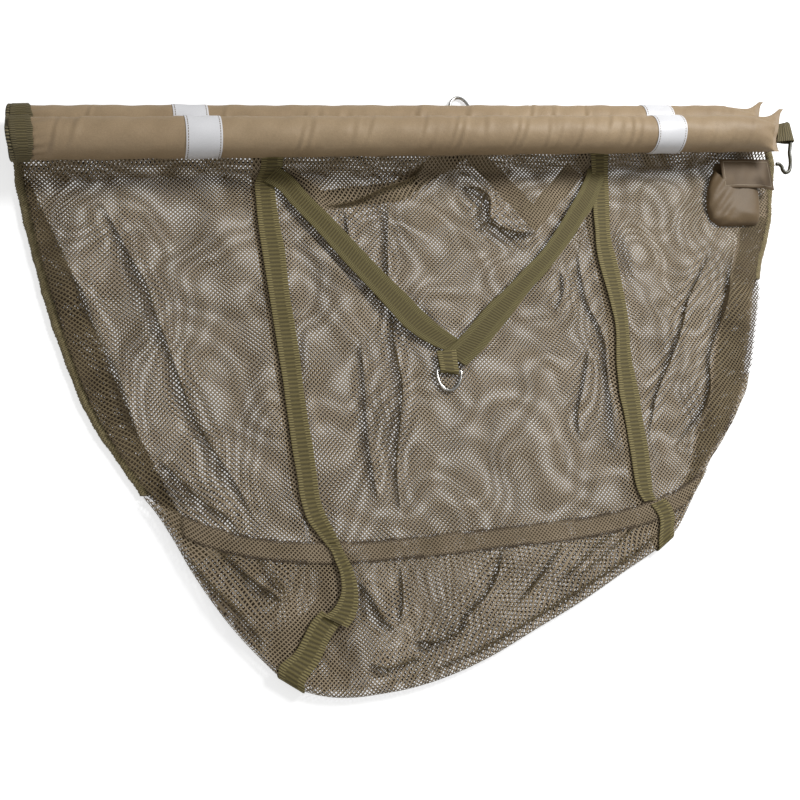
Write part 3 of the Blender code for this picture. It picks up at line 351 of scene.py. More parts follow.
# Each fold: how far it draws the cloth in, its half width, its height, and its line
FRONT_FOLDS = [
    (0.0034, 0.0080, 0.0060, [(-0.4581, 0.2545), (-0.4202, 0.1641), (-0.4035, 0.125), (-0.3932, 0.0704),
                              (-0.3715, -0.0182), (-0.3476, -0.077), (-0.3237, -0.1326),
                              (-0.2935, -0.1957)]),
    (0.0026, 0.0080, 0.0040, [(-0.5081, 0.1676), (-0.4865, 0.1289), (-0.4698, 0.0748), (-0.451, 0.0212),
                              (-0.4344, -0.057), (-0.4246, -0.0982)]),
    (0.0038, 0.0090, 0.0070, [(-0.4102, -0.097), (-0.3862, -0.1242), (-0.3592, -0.158),
                              (-0.3334, -0.1792), (-0.3161, -0.2119)]),
    (0.0032, 0.0065, 0.0055, [(-0.0722, 0.2317), (-0.0839, 0.1607), (-0.0901, 0.06), (-0.0918, -0.0265),
                              (-0.1031, -0.0841), (-0.1148, -0.1364), (-0.1152, -0.2016)]),
    (0.0024, 0.0070, 0.0040, [(-0.1358, 0.0486), (-0.1389, -0.0231), (-0.1443, -0.0808),
                              (-0.1469, -0.1466), (-0.1436, -0.1794)]),
    (0.0040, 0.0095, 0.0080, [(0.0319, 0.2628), (0.0759, 0.2386), (0.0745, 0.2048), (0.0943, 0.1888),
                              (0.1155, 0.1804), (0.1397, 0.1873)]),
    (0.0040, 0.0095, 0.0080, [(-0.0068, 0.2992), (-0.0414, 0.2643), (-0.0642, 0.2572), (-0.094, 0.2488),
                              (-0.1207, 0.2404), (-0.1589, 0.2369)]),
    (0.0026, 0.0055, 0.0050, [(0.4222, 0.1571), (0.3626, 0.0807), (0.3148, -0.0005), (0.2637, -0.0882),
                              (0.2444, -0.141)]),
    (0.0034, 0.0090, 0.0040, [(0.4487, 0.1481), (0.4178, 0.0702), (0.3751, -0.0043), (0.3376, -0.094),
                              (0.2821, -0.1442)]),
    (0.0026, 0.0065, 0.0040, [(-0.1315, 0.2332), (-0.1328, 0.1918), (-0.1442, 0.1587)]),
    (0.0030, 0.0080, 0.0030, [(0.2104, 0.1794), (0.1984, 0.1382), (0.1959, 0.0803), (0.2051, 0.0199),
                              (0.202, -0.0677), (0.196, -0.1385)]),
    (0.0022, 0.0060, 0.0030, [(0.1668, 0.1281), (0.164, 0.098), (0.1492, 0.0688)]),
    (0.0024, 0.0070, 0.0040, [(0.1842, 0.0076), (0.1661, -0.0449), (0.1524, -0.0839), (0.1514, -0.126)]),
]
FOOT_FOLDS = [
    (0.0030, 0.0080, 0.0050, [(-0.3161, -0.2119), (-0.2979, -0.2347), (-0.2692, -0.2843)]),
    (0.0028, 0.0070, 0.0045, [(-0.1834, -0.27), (-0.1705, -0.2962), (-0.1588, -0.3222),
                              (-0.1421, -0.3389)]),
    (0.0024, 0.0050, 0.0040, [(-0.1262, -0.2566), (-0.13, -0.3011), (-0.1374, -0.3334)]),
    (0.0038, 0.0085, 0.0070, [(0.0151, -0.2468), (-0.0128, -0.2987), (-0.038, -0.3197),
                              (-0.0622, -0.3367)]),
    (0.0030, 0.0070, 0.0050, [(0.1006, -0.2504), (0.0708, -0.28), (0.0403, -0.3088), (0.0211, -0.3231)]),
    (0.0040, 0.0085, 0.0070, [(-0.1211, -0.3538), (-0.0891, -0.3567), (-0.0682, -0.3496),
                              (-0.0461, -0.3362)]),
    (0.0034, 0.0075, 0.0050, [(-0.1813, -0.3736), (-0.1571, -0.3805), (-0.1373, -0.3759),
                              (-0.1152, -0.374)]),
    (0.0042, 0.0065, 0.0055, [(-0.1129, -0.3930), (-0.0413, -0.3740), (0.0382, -0.3440),
                              (0.1217, -0.3100), (0.2017, -0.2740), (0.2460, -0.2490)]),
    (0.0034, 0.0060, 0.0050, [(0.1850, -0.2420), (0.1420, -0.2640), (0.1080, -0.2850),
                              (0.0800, -0.3050)]),
    (0.0030, 0.0055, 0.0045, [(0.2180, -0.2330), (0.1780, -0.2600), (0.1400, -0.2820),
                              (0.1050, -0.3000)]),
    (0.0030, 0.0080, 0.0040, [(-0.4023, -0.1965), (-0.3836, -0.2251), (-0.3669, -0.2487),
                              (-0.331, -0.2936), (-0.3022, -0.3374)]),
    (0.0034, 0.0090, 0.0050, [(-0.3628, -0.1946), (-0.3361, -0.228), (-0.3016, -0.2684),
                              (-0.2758, -0.2883)]),
]
# How much further, wider and higher the folds of the net are drawn than those sizes
FOLD_PULL, FOLD_WIDE, FOLD_TALL = 2.05, 1.2, 2.2


def even_steps(rows, step, rounded):
    """Rows of numbers set out at even steps, on a curve through the rows or straight between them."""
    rows = np.array(rows, float).reshape(len(rows), -1)
    middle = rows[:, :3] if rows.shape[1] == 3 else (rows[:, :3] + rows[:, 3:6]) / 2
    at = np.concatenate([[0], np.cumsum(np.linalg.norm(np.diff(middle, axis=0), axis=1) + 1e-6)])
    new = np.linspace(0, at[-1], int(at[-1] / step) + 2)
    if not rounded:
        return np.stack([np.interp(new, at, rows[:, k]) for k in range(rows.shape[1])], -1), new
    slope = np.gradient(rows, at, axis=0)
    k = np.clip(np.searchsorted(at, new, side="right") - 1, 0, len(at) - 2)
    width = (at[k + 1] - at[k])[:, None]
    t = (new - at[k])[:, None] / width
    curve = ((1 + 2 * t) * (1 - t) ** 2 * rows[k] + t * (1 - t) ** 2 * width * slope[k]
             + t ** 2 * (3 - 2 * t) * rows[k + 1] + t ** 2 * (t - 1) * width * slope[k + 1])
    return curve, new


def flat_curve(line, step):
    """A smooth curve through the points of a flat line, at even steps."""
    return even_steps([(*point, 0.0) for point in line], step, True)[0][:, :2]


def off_line(points, line):
    """Points' distance from a line, their side of it, where along it, and the way across it there."""
    best = np.full(len(points), 1e9)
    side, along, normal = np.zeros(len(points)), np.zeros(len(points)), np.zeros((len(points), 2))
    line = np.array(line, float)
    lengths = np.linalg.norm(np.diff(line, axis=0), axis=1)
    before = np.concatenate([[0], np.cumsum(lengths)])
    for k, (a, b) in enumerate(zip(line, line[1:])):
        way = (b - a) / lengths[k]
        cross = np.array([-way[1], way[0]])
        t = np.clip((points - a) @ way, 0, lengths[k])
        gap = points - a - t[:, None] * way
        distance = np.linalg.norm(gap, axis=1)
        nearer = distance < best
        best[nearer] = distance[nearer]
        side[nearer] = np.sign(gap[nearer] @ cross)
        along[nearer] = (before[k] + t[nearer]) / before[-1]
        normal[nearer] = cross
    return best, side, along, normal


def edge_x(line, y):
    """X of an edge line at y, on a smooth curve through its points."""
    curve = flat_curve(line, 0.004)[::-1]
    return np.interp(y, curve[:, 1], curve[:, 0])


def edge_y(line, x):
    """Y of the foot's edge at x, on a smooth curve through its points."""
    curve = flat_curve(line, 0.004)
    return np.interp(x, curve[:, 0], curve[:, 1])


def seam_y(x):
    """Y of the seam between the panels and the foot, which lifts to meet both side edges."""
    end_x = np.where(x < 0, LEFT_SIDE[-1][0], RIGHT_SIDE[-1][0])
    end_y = np.where(x < 0, LEFT_SIDE[-1][1], RIGHT_SIDE[-1][1])
    return HINGE_Y + (end_y - HINGE_Y) * (x / end_x) ** 4


def front_net_height(x, y):
    """Middle of the front net: flat, rising to the bar, and falling to both side edges."""
    share = np.clip((y - RISE_FROM) / RISE_LONG, 0, 1)
    flat = FRONT_NET_Z + RISE_HIGH * share ** 2 * (1.5 - 0.5 * share)
    inside = np.minimum(x - edge_x(LEFT_SIDE, y), edge_x(RIGHT_SIDE, y) - x)
    fall = np.clip(1 - (inside - 0.006) / 0.055, 0, 1) ** 2 * np.clip((0.19 - y) / 0.05, 0, 1)
    return flat - fall * (FRONT_NET_Z - SIDE_NET_Z)


def slack(points, folds, seed):
    """How far each point of the flat net is drawn sideways, and how high it is lifted."""
    chance = np.random.RandomState(seed)
    move, height = np.zeros_like(points), np.zeros(len(points))
    for pull, half, tall, line in folds:
        distance, side, along, normal = off_line(points, flat_curve(line, 0.012))
        ends = np.clip(np.minimum(along, 1 - along) * 5, 0, 1) ** 0.7
        away = distance / (half * FOLD_WIDE)
        drawn = FOLD_PULL * pull * ends * away * np.exp(0.5 - 0.5 * away ** 2) * side
        move -= drawn[:, None] * normal
        height += FOLD_TALL * tall * ends * np.exp(-(away / 0.65) ** 2)
    # Broad waves, which lie anyhow all over the net
    for _ in range(14):
        way = chance.uniform(0, 2 * math.pi)
        length = chance.uniform(0.05, 0.17)
        wave = 2 * math.pi / length * (points @ np.array([math.cos(way), math.sin(way)]))
        wave = wave + chance.uniform(0, 6.28)
        drift = chance.uniform(0, 2 * math.pi)
        drawn = 0.00042 * (length / 0.1) * np.sin(wave)
        move += drawn[:, None] * np.array([math.cos(drift), math.sin(drift)])
        height += 0.0012 * (length / 0.1) * np.sin(wave + 1.3)
    return move, height


def in_fold(x, y, folds):
    """Whether points lie in the narrow, shaded middle of a fold."""
    inside = np.zeros(len(x), bool)
    for _, half, _, line in folds:
        distance, _, along, _ = off_line(np.stack([x, y], -1), flat_curve(line, 0.012))
        inside |= distance < 0.5 * half * np.clip(np.minimum(along, 1 - along) * 6, 0, 1)
    return inside


def clear_of_straps(x, y):
    """1 on open net, 0 where the straps, the handle and the pouch press it flat."""
    points = np.stack([x, y], -1)
    free = np.ones(len(points))
    for line in (LEFT_STRAP, RIGHT_STRAP, LEFT_ARM, RIGHT_ARM):
        free = np.minimum(free, np.clip((off_line(points, line)[0] - 0.016) / 0.014, 0, 1))
    box = np.maximum(np.abs(x - POUCH_ACROSS[0]) - POUCH_ACROSS[1], np.abs(y - POUCH_UP[0]) - POUCH_UP[1])
    return np.minimum(free, np.clip(box / 0.014, 0, 1))


def net_mesh(name, low, high, angle, keep, place, pitch=MESH_PITCH, thread=FRONT_TWINE):
    """Net of flat twine: a turned lattice of square meshes, kept by their middles, put in place."""
    middle = (np.array(low) + np.array(high)) / 2
    reach = np.linalg.norm(np.array(high) - np.array(low)) / 2
    count = int(reach / pitch) + 2
    steps = np.arange(-count, count + 1) * pitch
    i, j = np.meshgrid(steps, steps, indexing="ij")
    c, s = math.cos(angle), math.sin(angle)
    flat = np.stack([middle[0] + c * i - s * j, middle[1] + s * i + c * j], -1)
    numbers = np.arange(flat.shape[0] * flat.shape[1]).reshape(flat.shape[:2])

    def of_each_mesh(values):
        """The values at each mesh's four corners."""
        return np.stack([values[:-1, :-1], values[1:, :-1], values[1:, 1:], values[:-1, 1:]], 2)

    corners, quads = of_each_mesh(flat).reshape(-1, 4, 2), of_each_mesh(numbers).reshape(-1, 4)
    centre = corners.mean(1)
    kept = keep(centre[:, 0], centre[:, 1])
    corners, quads, centre = corners[kept], quads[kept], centre[kept]
    used, outer = np.unique(quads, return_inverse=True)
    outer = outer.reshape(-1, 4)
    inner_flat = centre[:, None] + (corners - centre[:, None]) * (1 - thread / pitch)
    all_flat = np.concatenate([flat.reshape(-1, 2)[used], inner_flat.reshape(-1, 2)])
    inner = len(used) + np.arange(inner_flat.size // 2).reshape(-1, 4)
    # Four flat threads round each opening
    after = [1, 2, 3, 0]
    faces = np.stack([outer, outer[:, after], inner[:, after], inner], -1).reshape(-1, 4)
    mesh = bpy.data.meshes.new(name)
    points = place(all_flat)
    mesh.vertices.add(len(points))
    mesh.vertices.foreach_set("co", points.astype(np.float32).ravel())
    mesh.loops.add(faces.size)
    mesh.loops.foreach_set("vertex_index", faces.astype(np.int32).ravel())
    mesh.polygons.add(len(faces))
    mesh.polygons.foreach_set("loop_start", np.arange(0, faces.size, 4, dtype=np.int32))
    mesh.polygons.foreach_set("use_smooth", np.ones(len(faces), bool))
    mesh.update(calc_edges=True)
    mesh.validate()
    layer = mesh.uv_layers.new(name="cloth")
    layer.data.foreach_set("uv", all_flat[faces.ravel()].astype(np.float32).ravel())
    made = bpy.data.objects.new(name, mesh)
    bpy.context.scene.collection.objects.link(made)
    return made


def face_middles(piece):
    """X, y and z of the middles of a piece's faces."""
    middles = np.zeros(len(piece.data.polygons) * 3)
    piece.data.polygons.foreach_get("center", middles)
    return middles.reshape(-1, 3).T


def recoloured(finish, name, dark, light):
    """A copy of a finish with other colours in its ramp."""
    made = finish.copy()
    made.name = name
    for node in made.node_tree.nodes:
        if node.bl_idname == "ShaderNodeValToRGB":
            node.color_ramp.elements[0].color = linear(dark)
            node.color_ramp.elements[1].color = linear(light)
    return made


# Twisted nylon twine: matt, with twists drawn 1.4 mm long, and cloudy in tone from use
twine, tree, shader = new_finish("knotless_nylon_net", {
    "Roughness": 0.75, "Specular IOR Level": 0.3, "Sheen Weight": 0.08, "Sheen Tint": linear("#b09a74")})
place = add_node(tree, "TexCoord", {}, {}).outputs["Object"]
cloud = add_node(tree, "TexNoise", {}, {"Vector": place, "Scale": 22.0, "Detail": 3.0})
strand = add_node(tree, "TexNoise", {}, {"Vector": place, "Scale": 700.0, "Detail": 2.0})
both = add_node(tree, "Math", {"operation": "MULTIPLY_ADD"},
                {0: strand.outputs[0], 1: 0.6, 2: cloud.outputs[0]})
tone = add_node(tree, "ValToRGB", {}, {"Fac": both.outputs[0]})
tone.color_ramp.elements[0].position, tone.color_ramp.elements[0].color = 0.55, linear("#89795f")
tone.color_ramp.elements[1].position, tone.color_ramp.elements[1].color = 1.05, linear("#a5947b")
relief = add_node(tree, "Bump", {}, {"Strength": 0.5, "Distance": 0.0003, "Height": strand.outputs[0]})
tree.links.new(tone.outputs[0], shader.inputs["Base Color"])
tree.links.new(relief.outputs[0], shader.inputs["Normal"])

# Layers that lie underneath get painted shade: a darker copy of the twine, so they are darker between the
# meshes
shade_painted_twine = recoloured(twine, "knotless_nylon_net_painted_shade", "#41362a", "#5c4e3c")
# Net in folds, in the hem and beside the gussets gets painted shade too, between those two
half_shade_twine = recoloured(twine, "knotless_nylon_net_half_shade", "#65573f", "#827357")
FRONT_ANGLE, REAR_ANGLE, FOOT_ANGLE = math.radians(47), math.radians(42.5), math.radians(45)
# How high the front net lies where it goes on under the foot's upper layer
UNDER_FOOT_Z = FRONT_NET_Z - 0.0018
# The foot's fold: its radius, its middle's height, and how far inside the outline its turn starts
FOLD_RADIUS, FOLD_Z, FOLD_INSET = 0.0062, 0.0086, 0.0068
SEAM_ALLOWANCE = 0.0005


def near_side(flat):
    """0 at the panel's side edges, 1 from 25 mm inside them."""
    x, y = flat.T
    gap = np.minimum(x - edge_x(LEFT_SIDE, y), edge_x(RIGHT_SIDE, y) - x)
    return np.clip((gap - 0.003) / 0.022, 0, 1)[:, None]


def near_seam(x, y):
    """0 under the seam's tape, 1 from 50 mm away from its middle."""
    return np.clip((np.abs(y - seam_y(x) + 0.011) - 0.014) / 0.036, 0, 1)


def place_front(flat):
    """The front net, drawn into folds and lifted, but flat under straps and along its edges."""
    move, height = slack(flat, FRONT_FOLDS, 3)
    move = move * near_side(flat)
    x, y = (flat + move * np.clip((0.296 - flat[:, 1]) / 0.02, 0, 1)[:, None]).T
    free = clear_of_straps(x, y) * np.clip((0.296 - y) / 0.03, 0, 1)
    lift = np.clip(height, -0.004, 0.019) * free * near_seam(x, y)
    inside = np.minimum(x - edge_x(LEFT_GUSSET, y), edge_x(RIGHT_GUSSET, y) - x)
    lift = np.where(lift < 0, lift * np.clip(inside / 0.02, 0, 1), lift) * near_side(flat)[:, 0] - 0.0004
    below = np.clip((seam_y(x) + 0.002 - y) / 0.004, 0, 1)
    z = (front_net_height(x, y) + lift) * (1 - below) + UNDER_FOOT_Z * below
    return np.stack([x, y, z], -1)


def place_rear(flat):
    """The rear net: laid on the floor, with broad waves only."""
    move, height = slack(flat, [], 8)
    x, y = (flat + 1.3 * move * near_side(flat)).T
    return np.stack([x, y, REAR_NET_Z + np.clip(height, -0.0007, 0.004)], -1)


def foot_fold(x):
    """Y of the foot's fold where its turn starts, and the length of net from the seam down to it."""
    fold_y = edge_y(FOOT_SIDE, x) + FOLD_INSET
    return fold_y, seam_y(x) - SEAM_ALLOWANCE - fold_y


def place_foot(flat):
    """Flat x and run: down the front layer to the fold, round it, and back under."""
    x, run = flat.T
    fold_y, down = foot_fold(x)
    turn = np.clip((run - down) / FOLD_RADIUS, 0, math.pi)
    back = np.maximum(run - down - math.pi * FOLD_RADIUS, 0)
    y = fold_y + np.maximum(down - run, 0) + back - FOLD_RADIUS * np.sin(turn)
    z = FOLD_Z + FOLD_RADIUS * np.cos(turn)
    points = np.stack([x, y], -1)
    top = turn == 0
    move, height = slack(points, FOOT_FOLDS, 4)
    under, low = slack(points, [], 12)
    edge = np.clip((y - edge_y(FOOT_SIDE, x)) / 0.02, 0, 1)
    move = np.where(top[:, None], move, under) * edge[:, None]
    upper = np.clip(height, -0.004, 0.017) * clear_of_straps(x, y)
    lift = np.where(top, upper, np.clip(low, -0.0006, 0.003)) * edge * near_seam(x, y)
    return np.stack([x + move[:, 0], y + move[:, 1], z + lift], -1)


def single_layer(y):
    """1 where only the rear net reaches the bag's right edge."""
    return np.clip((0.098 - y) / 0.02, 0, 1) * np.clip((y + 0.055) / 0.03, 0, 1)


def in_panel(x, y, rear):
    """Whether meshes lie within the front or rear panel's own edges."""
    single = single_layer(y)
    if rear:
        inset = 0.0035 - 0.003 * single + 0.012 * np.clip((y - 0.25) / 0.03, 0, 1)
        left, foot = 0.0060, seam_y(x) - 0.0015
    else:
        low = np.minimum(front_net_height(x, y), FRONT_NET_Z)
        inset = 0.0060 + 0.75 * (low - 0.0033) + 0.004 * single - 0.006 * np.clip((y - 0.24) / 0.03, 0, 1)
        # It goes on under the foot to the line that it turns about, so that no slit opens
        left, foot = 0.0105, HINGE_Y - 0.0010
    return (x > edge_x(LOW_LEFT, y) + left) & (x < edge_x(LOW_RIGHT, y) - inset) & (y > foot)


for name, angle, placed, top, thread in (("front", FRONT_ANGLE, place_front, 0.3080, FRONT_TWINE),
                                         ("rear", REAR_ANGLE, place_rear, 0.3360, REAR_TWINE)):
    # Each panel is drawn in three pieces, which meet under the two main straps
    for part, left, right in (("left", -0.60, -0.2360), ("middle", -0.2360, 0.2420),
                              ("right", 0.2420, 0.60)):
        panel = net_mesh(f"{name}_net_{part}", (max(left, -0.56), -0.23), (min(right, 0.55), 0.34), angle,
                         lambda x, y: in_panel(x, y, name == "rear") & (x > left) & (x < right) & (y < top),
                         placed, MESH_PITCH, thread)
        # The rear net lies underneath and gets twine with painted shade
        panel.data.materials.append(twine if name == "front" else shade_painted_twine)
        if name == "front":
            panel.data.materials.append(half_shade_twine)
            # Beside the gussets and along the folds' middles the front net gets painted shade
            x, y, _ = face_middles(panel)
            shaded = (x < edge_x(LEFT_GUSSET, y)) | ((x > edge_x(RIGHT_GUSSET, y)) & (y < 0.2))
            shaded |= in_fold(x, y, FRONT_FOLDS)
            panel.data.polygons.foreach_set("material_index", shaded.astype(np.int32))
        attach(panel, f"{name}_side")
        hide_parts(f"{name}_net_panel")

FOOT_PITCH, FOOT_TWINE = 0.0039, 0.00135


def on_foot(x, run, left, right):
    """Inside the folded foot, between two lines."""
    length = 2 * foot_fold(x)[1] + math.pi * FOLD_RADIUS
    return (x > left) & (x < right) & (run > -0.0015) & (run < length)


for part, left, right in (("left", -0.430, -0.08), ("right", -0.08, 0.331)):
    foot = net_mesh(f"foot_net_{part}", (left, 0.0), (right, 0.42), FOOT_ANGLE,
                    lambda x, run: on_foot(x, run, left, right), place_foot, FOOT_PITCH, FOOT_TWINE)
    for finish in (twine, shade_painted_twine, half_shade_twine):
        foot.data.materials.append(finish)
    x, y, z = face_middles(foot)
    # The foot's lower layer gets painted shade, and its folds a lighter painted shade
    index = np.where(z < FOLD_Z, 1, np.where(in_fold(x, y, FOOT_FOLDS), 2, 0))
    foot.data.polygons.foreach_set("material_index", index.astype(np.int32))
    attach(foot, "rear_side")
    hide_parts("foot_net")


def place_inner(flat):
    """The foot's inner layer: flat, with broad waves."""
    move, height = slack(flat, [], 15)
    x, y = (flat + 1.2 * move).T
    return np.stack([x, y, 0.0080 + np.clip(height, -0.002, 0.002)], -1)


def in_foot(x, y):
    """Whether points lie between the seam and the foot's fold."""
    return (y < seam_y(x) - 0.004) & (y > edge_y(FOOT_SIDE, x) + 0.009)


# The foot is folded in on itself: a third layer in twine with painted shade, drawn in thicker twine at its
# ends, which are darker
for part, left, right, thread in (("left", -0.425, -0.205, 0.0022), ("middle", -0.205, 0.175, 0.0011),
                                  ("right", 0.175, 0.325, 0.0020)):
    inner = net_mesh(f"foot_inner_{part}", (left, -0.40), (right, -0.15), math.radians(41),
                     lambda x, y: (x > left) & (x < right) & in_foot(x, y), place_inner, FOOT_PITCH, thread)
    inner.data.materials.append(shade_painted_twine)
    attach(inner, "rear_side")
    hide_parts("foot_net")


# Side gussets. At each side the net is folded in between the panels, from the bars down to the
# seam, so the bag can open. The two more layers, in twine with painted shade, make a darker strip with a
# crisp inner edge.
GUSSET_PITCH, GUSSET_TWINE = 0.0034, 0.0018
GUSSET_FOOT = -0.2220
GUSSETS = {"left": (LOW_LEFT, LEFT_GUSSET, -1, 0.2850), "right": (LOW_RIGHT, RIGHT_GUSSET, 1, 0.2400)}
for part, (line, inner_line, side, top) in GUSSETS.items():
    def gap(y):
        """How far the gusset's fold starts inside the outline."""
        return 0.0105 if side < 0 else 0.0115 + 0.0040 * single_layer(y)

    def deep(down):
        """How far the gusset is folded in, at a length down from its top."""
        y = top - down
        return np.abs(edge_x(line, y) - edge_x(inner_line, y)) - gap(y)

    def place_gusset(flat):
        """Flat s and down: from the rear net's edge inwards, and back out to the front net's edge."""
        s, down = flat.T
        depth = deep(down)
        y = top - down
        inward = depth * (1 - np.abs(np.clip(s / depth, 0, 2) - 1))
        x = edge_x(line, y) - side * (gap(y) + inward)
        share = np.clip(s / (2 * depth), 0, 1)
        z = 0.0038 + 0.0060 * share + 0.0003 * np.sin(y * 60 + s * 90)
        # Above the seam its front edge rises to meet the front net
        near = np.clip((share - 0.8) / 0.2, 0, 1) ** 2 * (y > seam_y(x))
        z = z + (front_net_height(x, y) - 0.0100) * near
        return np.stack([x, y + 0.002 * np.sin(s * 60), z], -1)

    length = top - GUSSET_FOOT
    gusset = net_mesh(f"side_gusset_{part}", (0, 0), (0.13, length + 0.01), math.radians(45 + 2 * side),
                      lambda s, down: (s > 0) & (s < 2 * deep(down)) & (down > 0) & (down < length),
                      place_gusset, GUSSET_PITCH, GUSSET_TWINE)
    gusset.data.materials.append(shade_painted_twine)
    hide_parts(f"{part}_side_binding")
    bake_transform(gusset)


# Top hem. The front net's top edge is folded double over 27 mm where it is sewn under the
# bar, so a strip of closer meshes, in twine with painted shade, shows along the bar's lower side.
hem = net_mesh("front_net_hem", (-0.545, 0.28), (0.515, 0.308), math.radians(42),
               lambda x, y: (x > edge_x(LEFT_SIDE, y) + 0.016) & (x < 0.532) & (y > 0.2810) & (y < 0.3080),
               lambda flat: place_front(flat) - np.array([0.0, 0.0, 0.0016]))
hem.data.materials.append(half_shade_twine)
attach(hem, "front_side")
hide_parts("front_net_panel")


# Seam tape. A 22 mm strip of closer-meshed net, folded double and sewn over the seam between
# the panels and the foot, so the seam shows as a darker band, partly from its backing's painted shade, with
# a fine line along its top.
TAPE_WIDTH, TAPE_PITCH = 0.022, 0.0037
TAPE_LEFT, TAPE_RIGHT = -0.39, 0.318
TAPE_Z = 0.0166


def place_tape(flat):
    """Flat x and down: along the seam, and down across the tape, with a faint ripple."""
    x, down = flat.T
    ripple = 0.0003 * np.sin(x * 95) + 0.0002 * np.sin(x * 240 + down * 200)
    return np.stack([x, seam_y(x) - 0.0010 - down, TAPE_Z + ripple + 0.0002 * np.sin(down * 280)], -1)


def on_tape(x, down, over):
    """Inside the tape, which stops short of the bag's edge at both ends."""
    ends = (x > -0.388) & (x < edge_x(LOW_RIGHT, seam_y(x) - down) - 0.0085)
    return ends & (down > -over) & (down < TAPE_WIDTH + over)


# The tape's face, and its folded back, which reaches further, lies lower and gets painted shade
for name, finish, angle, thread, over, lower, spare, cut in (
        ("net", twine, 44, 0.0013, 0, 0, (0.001, 0), 0.022),
        ("backing", shade_painted_twine, 40, 0.0022, 0.0025, 0.0007, (0.004, 0.003), 0.027)):
    tape = net_mesh(f"seam_tape_{name}", (TAPE_LEFT, -spare[0]), (TAPE_RIGHT, TAPE_WIDTH + spare[1]),
                    math.radians(angle), lambda x, down: on_tape(x, down, over),
                    lambda flat: place_tape(flat) - np.array([0, 0, lower]), TAPE_PITCH, thread)
    tape.data.materials.append(finish)
    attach(tape, "rear_side")
    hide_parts("seam_tape")


# Side bindings. The net's edges are folded over and bound in a strip 12 mm wide, which puckers
# as it is drawn along the slanting sides. Low on the right side only the folded net is left.
BINDING_HALF_WIDE, BINDING_HALF_HIGH, BINDING_Z, BINDING_INSET = 0.0063, 0.0042, 0.0044, 0.0062
# Height of the middle of webbing that lies on the floor
FLOOR_WEB_Z = 0.00085


def chance_waves(chance, at, count, least, shortest, longest):
    """A few sine waves of chance size and length along a strip, added together."""
    total = np.zeros(len(at))
    for _ in range(count):
        size, length = chance.uniform(least, 1), chance.uniform(shortest, longest)
        total += size * np.sin(2 * math.pi * at / length + chance.uniform(0, 6))
    return total


def webbing_mesh(name, stations, thickness=0.0015, curl=0.0, wave=0.0, seed=1, rounded=True, step=0.0018):
    """A closed strip through pairs of edge points: rounded edges, curled up at them, gently wavy."""
    rows, at = even_steps([[*a, *b] for a, b in stations], step, rounded)
    rows[:, 2::3] = np.maximum(rows[:, 2::3], FLOOR_WEB_Z)
    one, other = rows[:, :3], rows[:, 3:6]
    across, middle = (other - one) / 2, (one + other) / 2
    normal = np.cross(np.gradient(middle, at, axis=0), across)
    normal /= np.linalg.norm(normal, axis=1)[:, None]
    roll = chance_waves(np.random.RandomState(seed), at, 3, 0.4, 0.05, 0.16) * wave / 2
    share = np.array([-1, -0.985, -0.94, -0.8, -0.6, -0.3, 0, 0.3, 0.6, 0.8, 0.94, 0.985, 1])
    thick = np.array([0.2, 0.7, 1, 1.05, 0.95, 1, 1, 1, 0.95, 1.05, 1, 0.7, 0.2]) * thickness / 2
    around = np.concatenate([share, share[::-1]])
    lift = np.concatenate([thick, -thick[::-1]])
    height = lift[None, :] + curl * (around[None, :] ** 2) + roll[:, None] * around[None, :]
    rings = middle[:, None] + across[:, None] * around[None, :, None] + normal[:, None] * height[:, :, None]
    uv = np.stack(np.broadcast_arrays(at[:, None], around[None, :] * 0.015), -1)
    return tube_mesh(name, rings, True, uv)


def bound_edge(name, line, side, top, bottom, seed):
    """A binding folded round the net's edge from top to bottom, puckered along its length."""
    y = np.linspace(top, bottom, int((top - bottom) / 0.0022))
    turn = np.linspace(0, 2 * math.pi, 20, endpoint=False)
    bump = chance_waves(np.random.RandomState(seed), y, 6, 0.3, 0.007, 0.03)
    wide = BINDING_HALF_WIDE + 0.00022 * bump
    high = BINDING_HALF_HIGH + 0.00022 * np.roll(bump, 5)
    # The right one rises to the bar at its top
    rise = 0.0200 * np.clip((y - 0.22) / 0.06, 0, 1) ** 2 * (side > 0)
    shift = 0.0006 * np.sin(y * 47) + 0.0004 * np.sin(y * 131)
    gather = 0.0005 * np.sin(y[:, None] * 1500 + 1.5 * np.cos(turn)[None, :])
    middle_x = edge_x(line, y) - side * BINDING_INSET + shift
    x = middle_x[:, None] + (wide[:, None] + gather) * np.cos(turn)[None, :]
    z = (BINDING_Z + rise)[:, None] + (high[:, None] + 0.6 * gather) * np.sin(turn)[None, :]
    rings = np.stack([x, np.broadcast_to(y[:, None], x.shape), np.maximum(z, 0.0002)], -1)
    uv = np.stack(np.broadcast_arrays((top - y)[:, None], turn[None, :] * 0.0048), -1)
    return tube_mesh(name, rings, True, uv)


binding_cloth, tree, shader = new_finish("folded_net_binding", {"Roughness": 0.8, "Sheen Weight": 0.15})
uv = add_node(tree, "UVMap", {"uv_map": "cloth"}, {}).outputs[0]
parts = add_node(tree, "SeparateXYZ", {}, {0: uv})
# Meshes of the folded net show 3 mm long, with threads over gaps painted dark as shade
rows = []
for lean in (1.0, -1.0):
    mixed = add_node(tree, "Math", {"operation": "MULTIPLY_ADD"},
                     {0: parts.outputs[1], 1: lean, 2: parts.outputs[0]})
    rows.append(add_node(tree, "Math", {"operation": "PINGPONG"}, {0: mixed.outputs[0], 1: 0.0017}))
gap = add_node(tree, "Math", {"operation": "MINIMUM"}, {0: rows[0].outputs[0], 1: rows[1].outputs[0]})
gap = add_node(tree, "MapRange", {}, {"Value": gap.outputs[0], "From Min": 0.0003, "From Max": 0.0011})
place = add_node(tree, "TexCoord", {}, {}).outputs["Object"]
worn = add_node(tree, "TexNoise", {}, {"Vector": place, "Scale": 160.0, "Detail": 3.0})
tone = add_node(tree, "ValToRGB", {}, {"Fac": worn.outputs[0]})
tone.color_ramp.elements[0].position, tone.color_ramp.elements[0].color = 0.35, linear("#84764f")
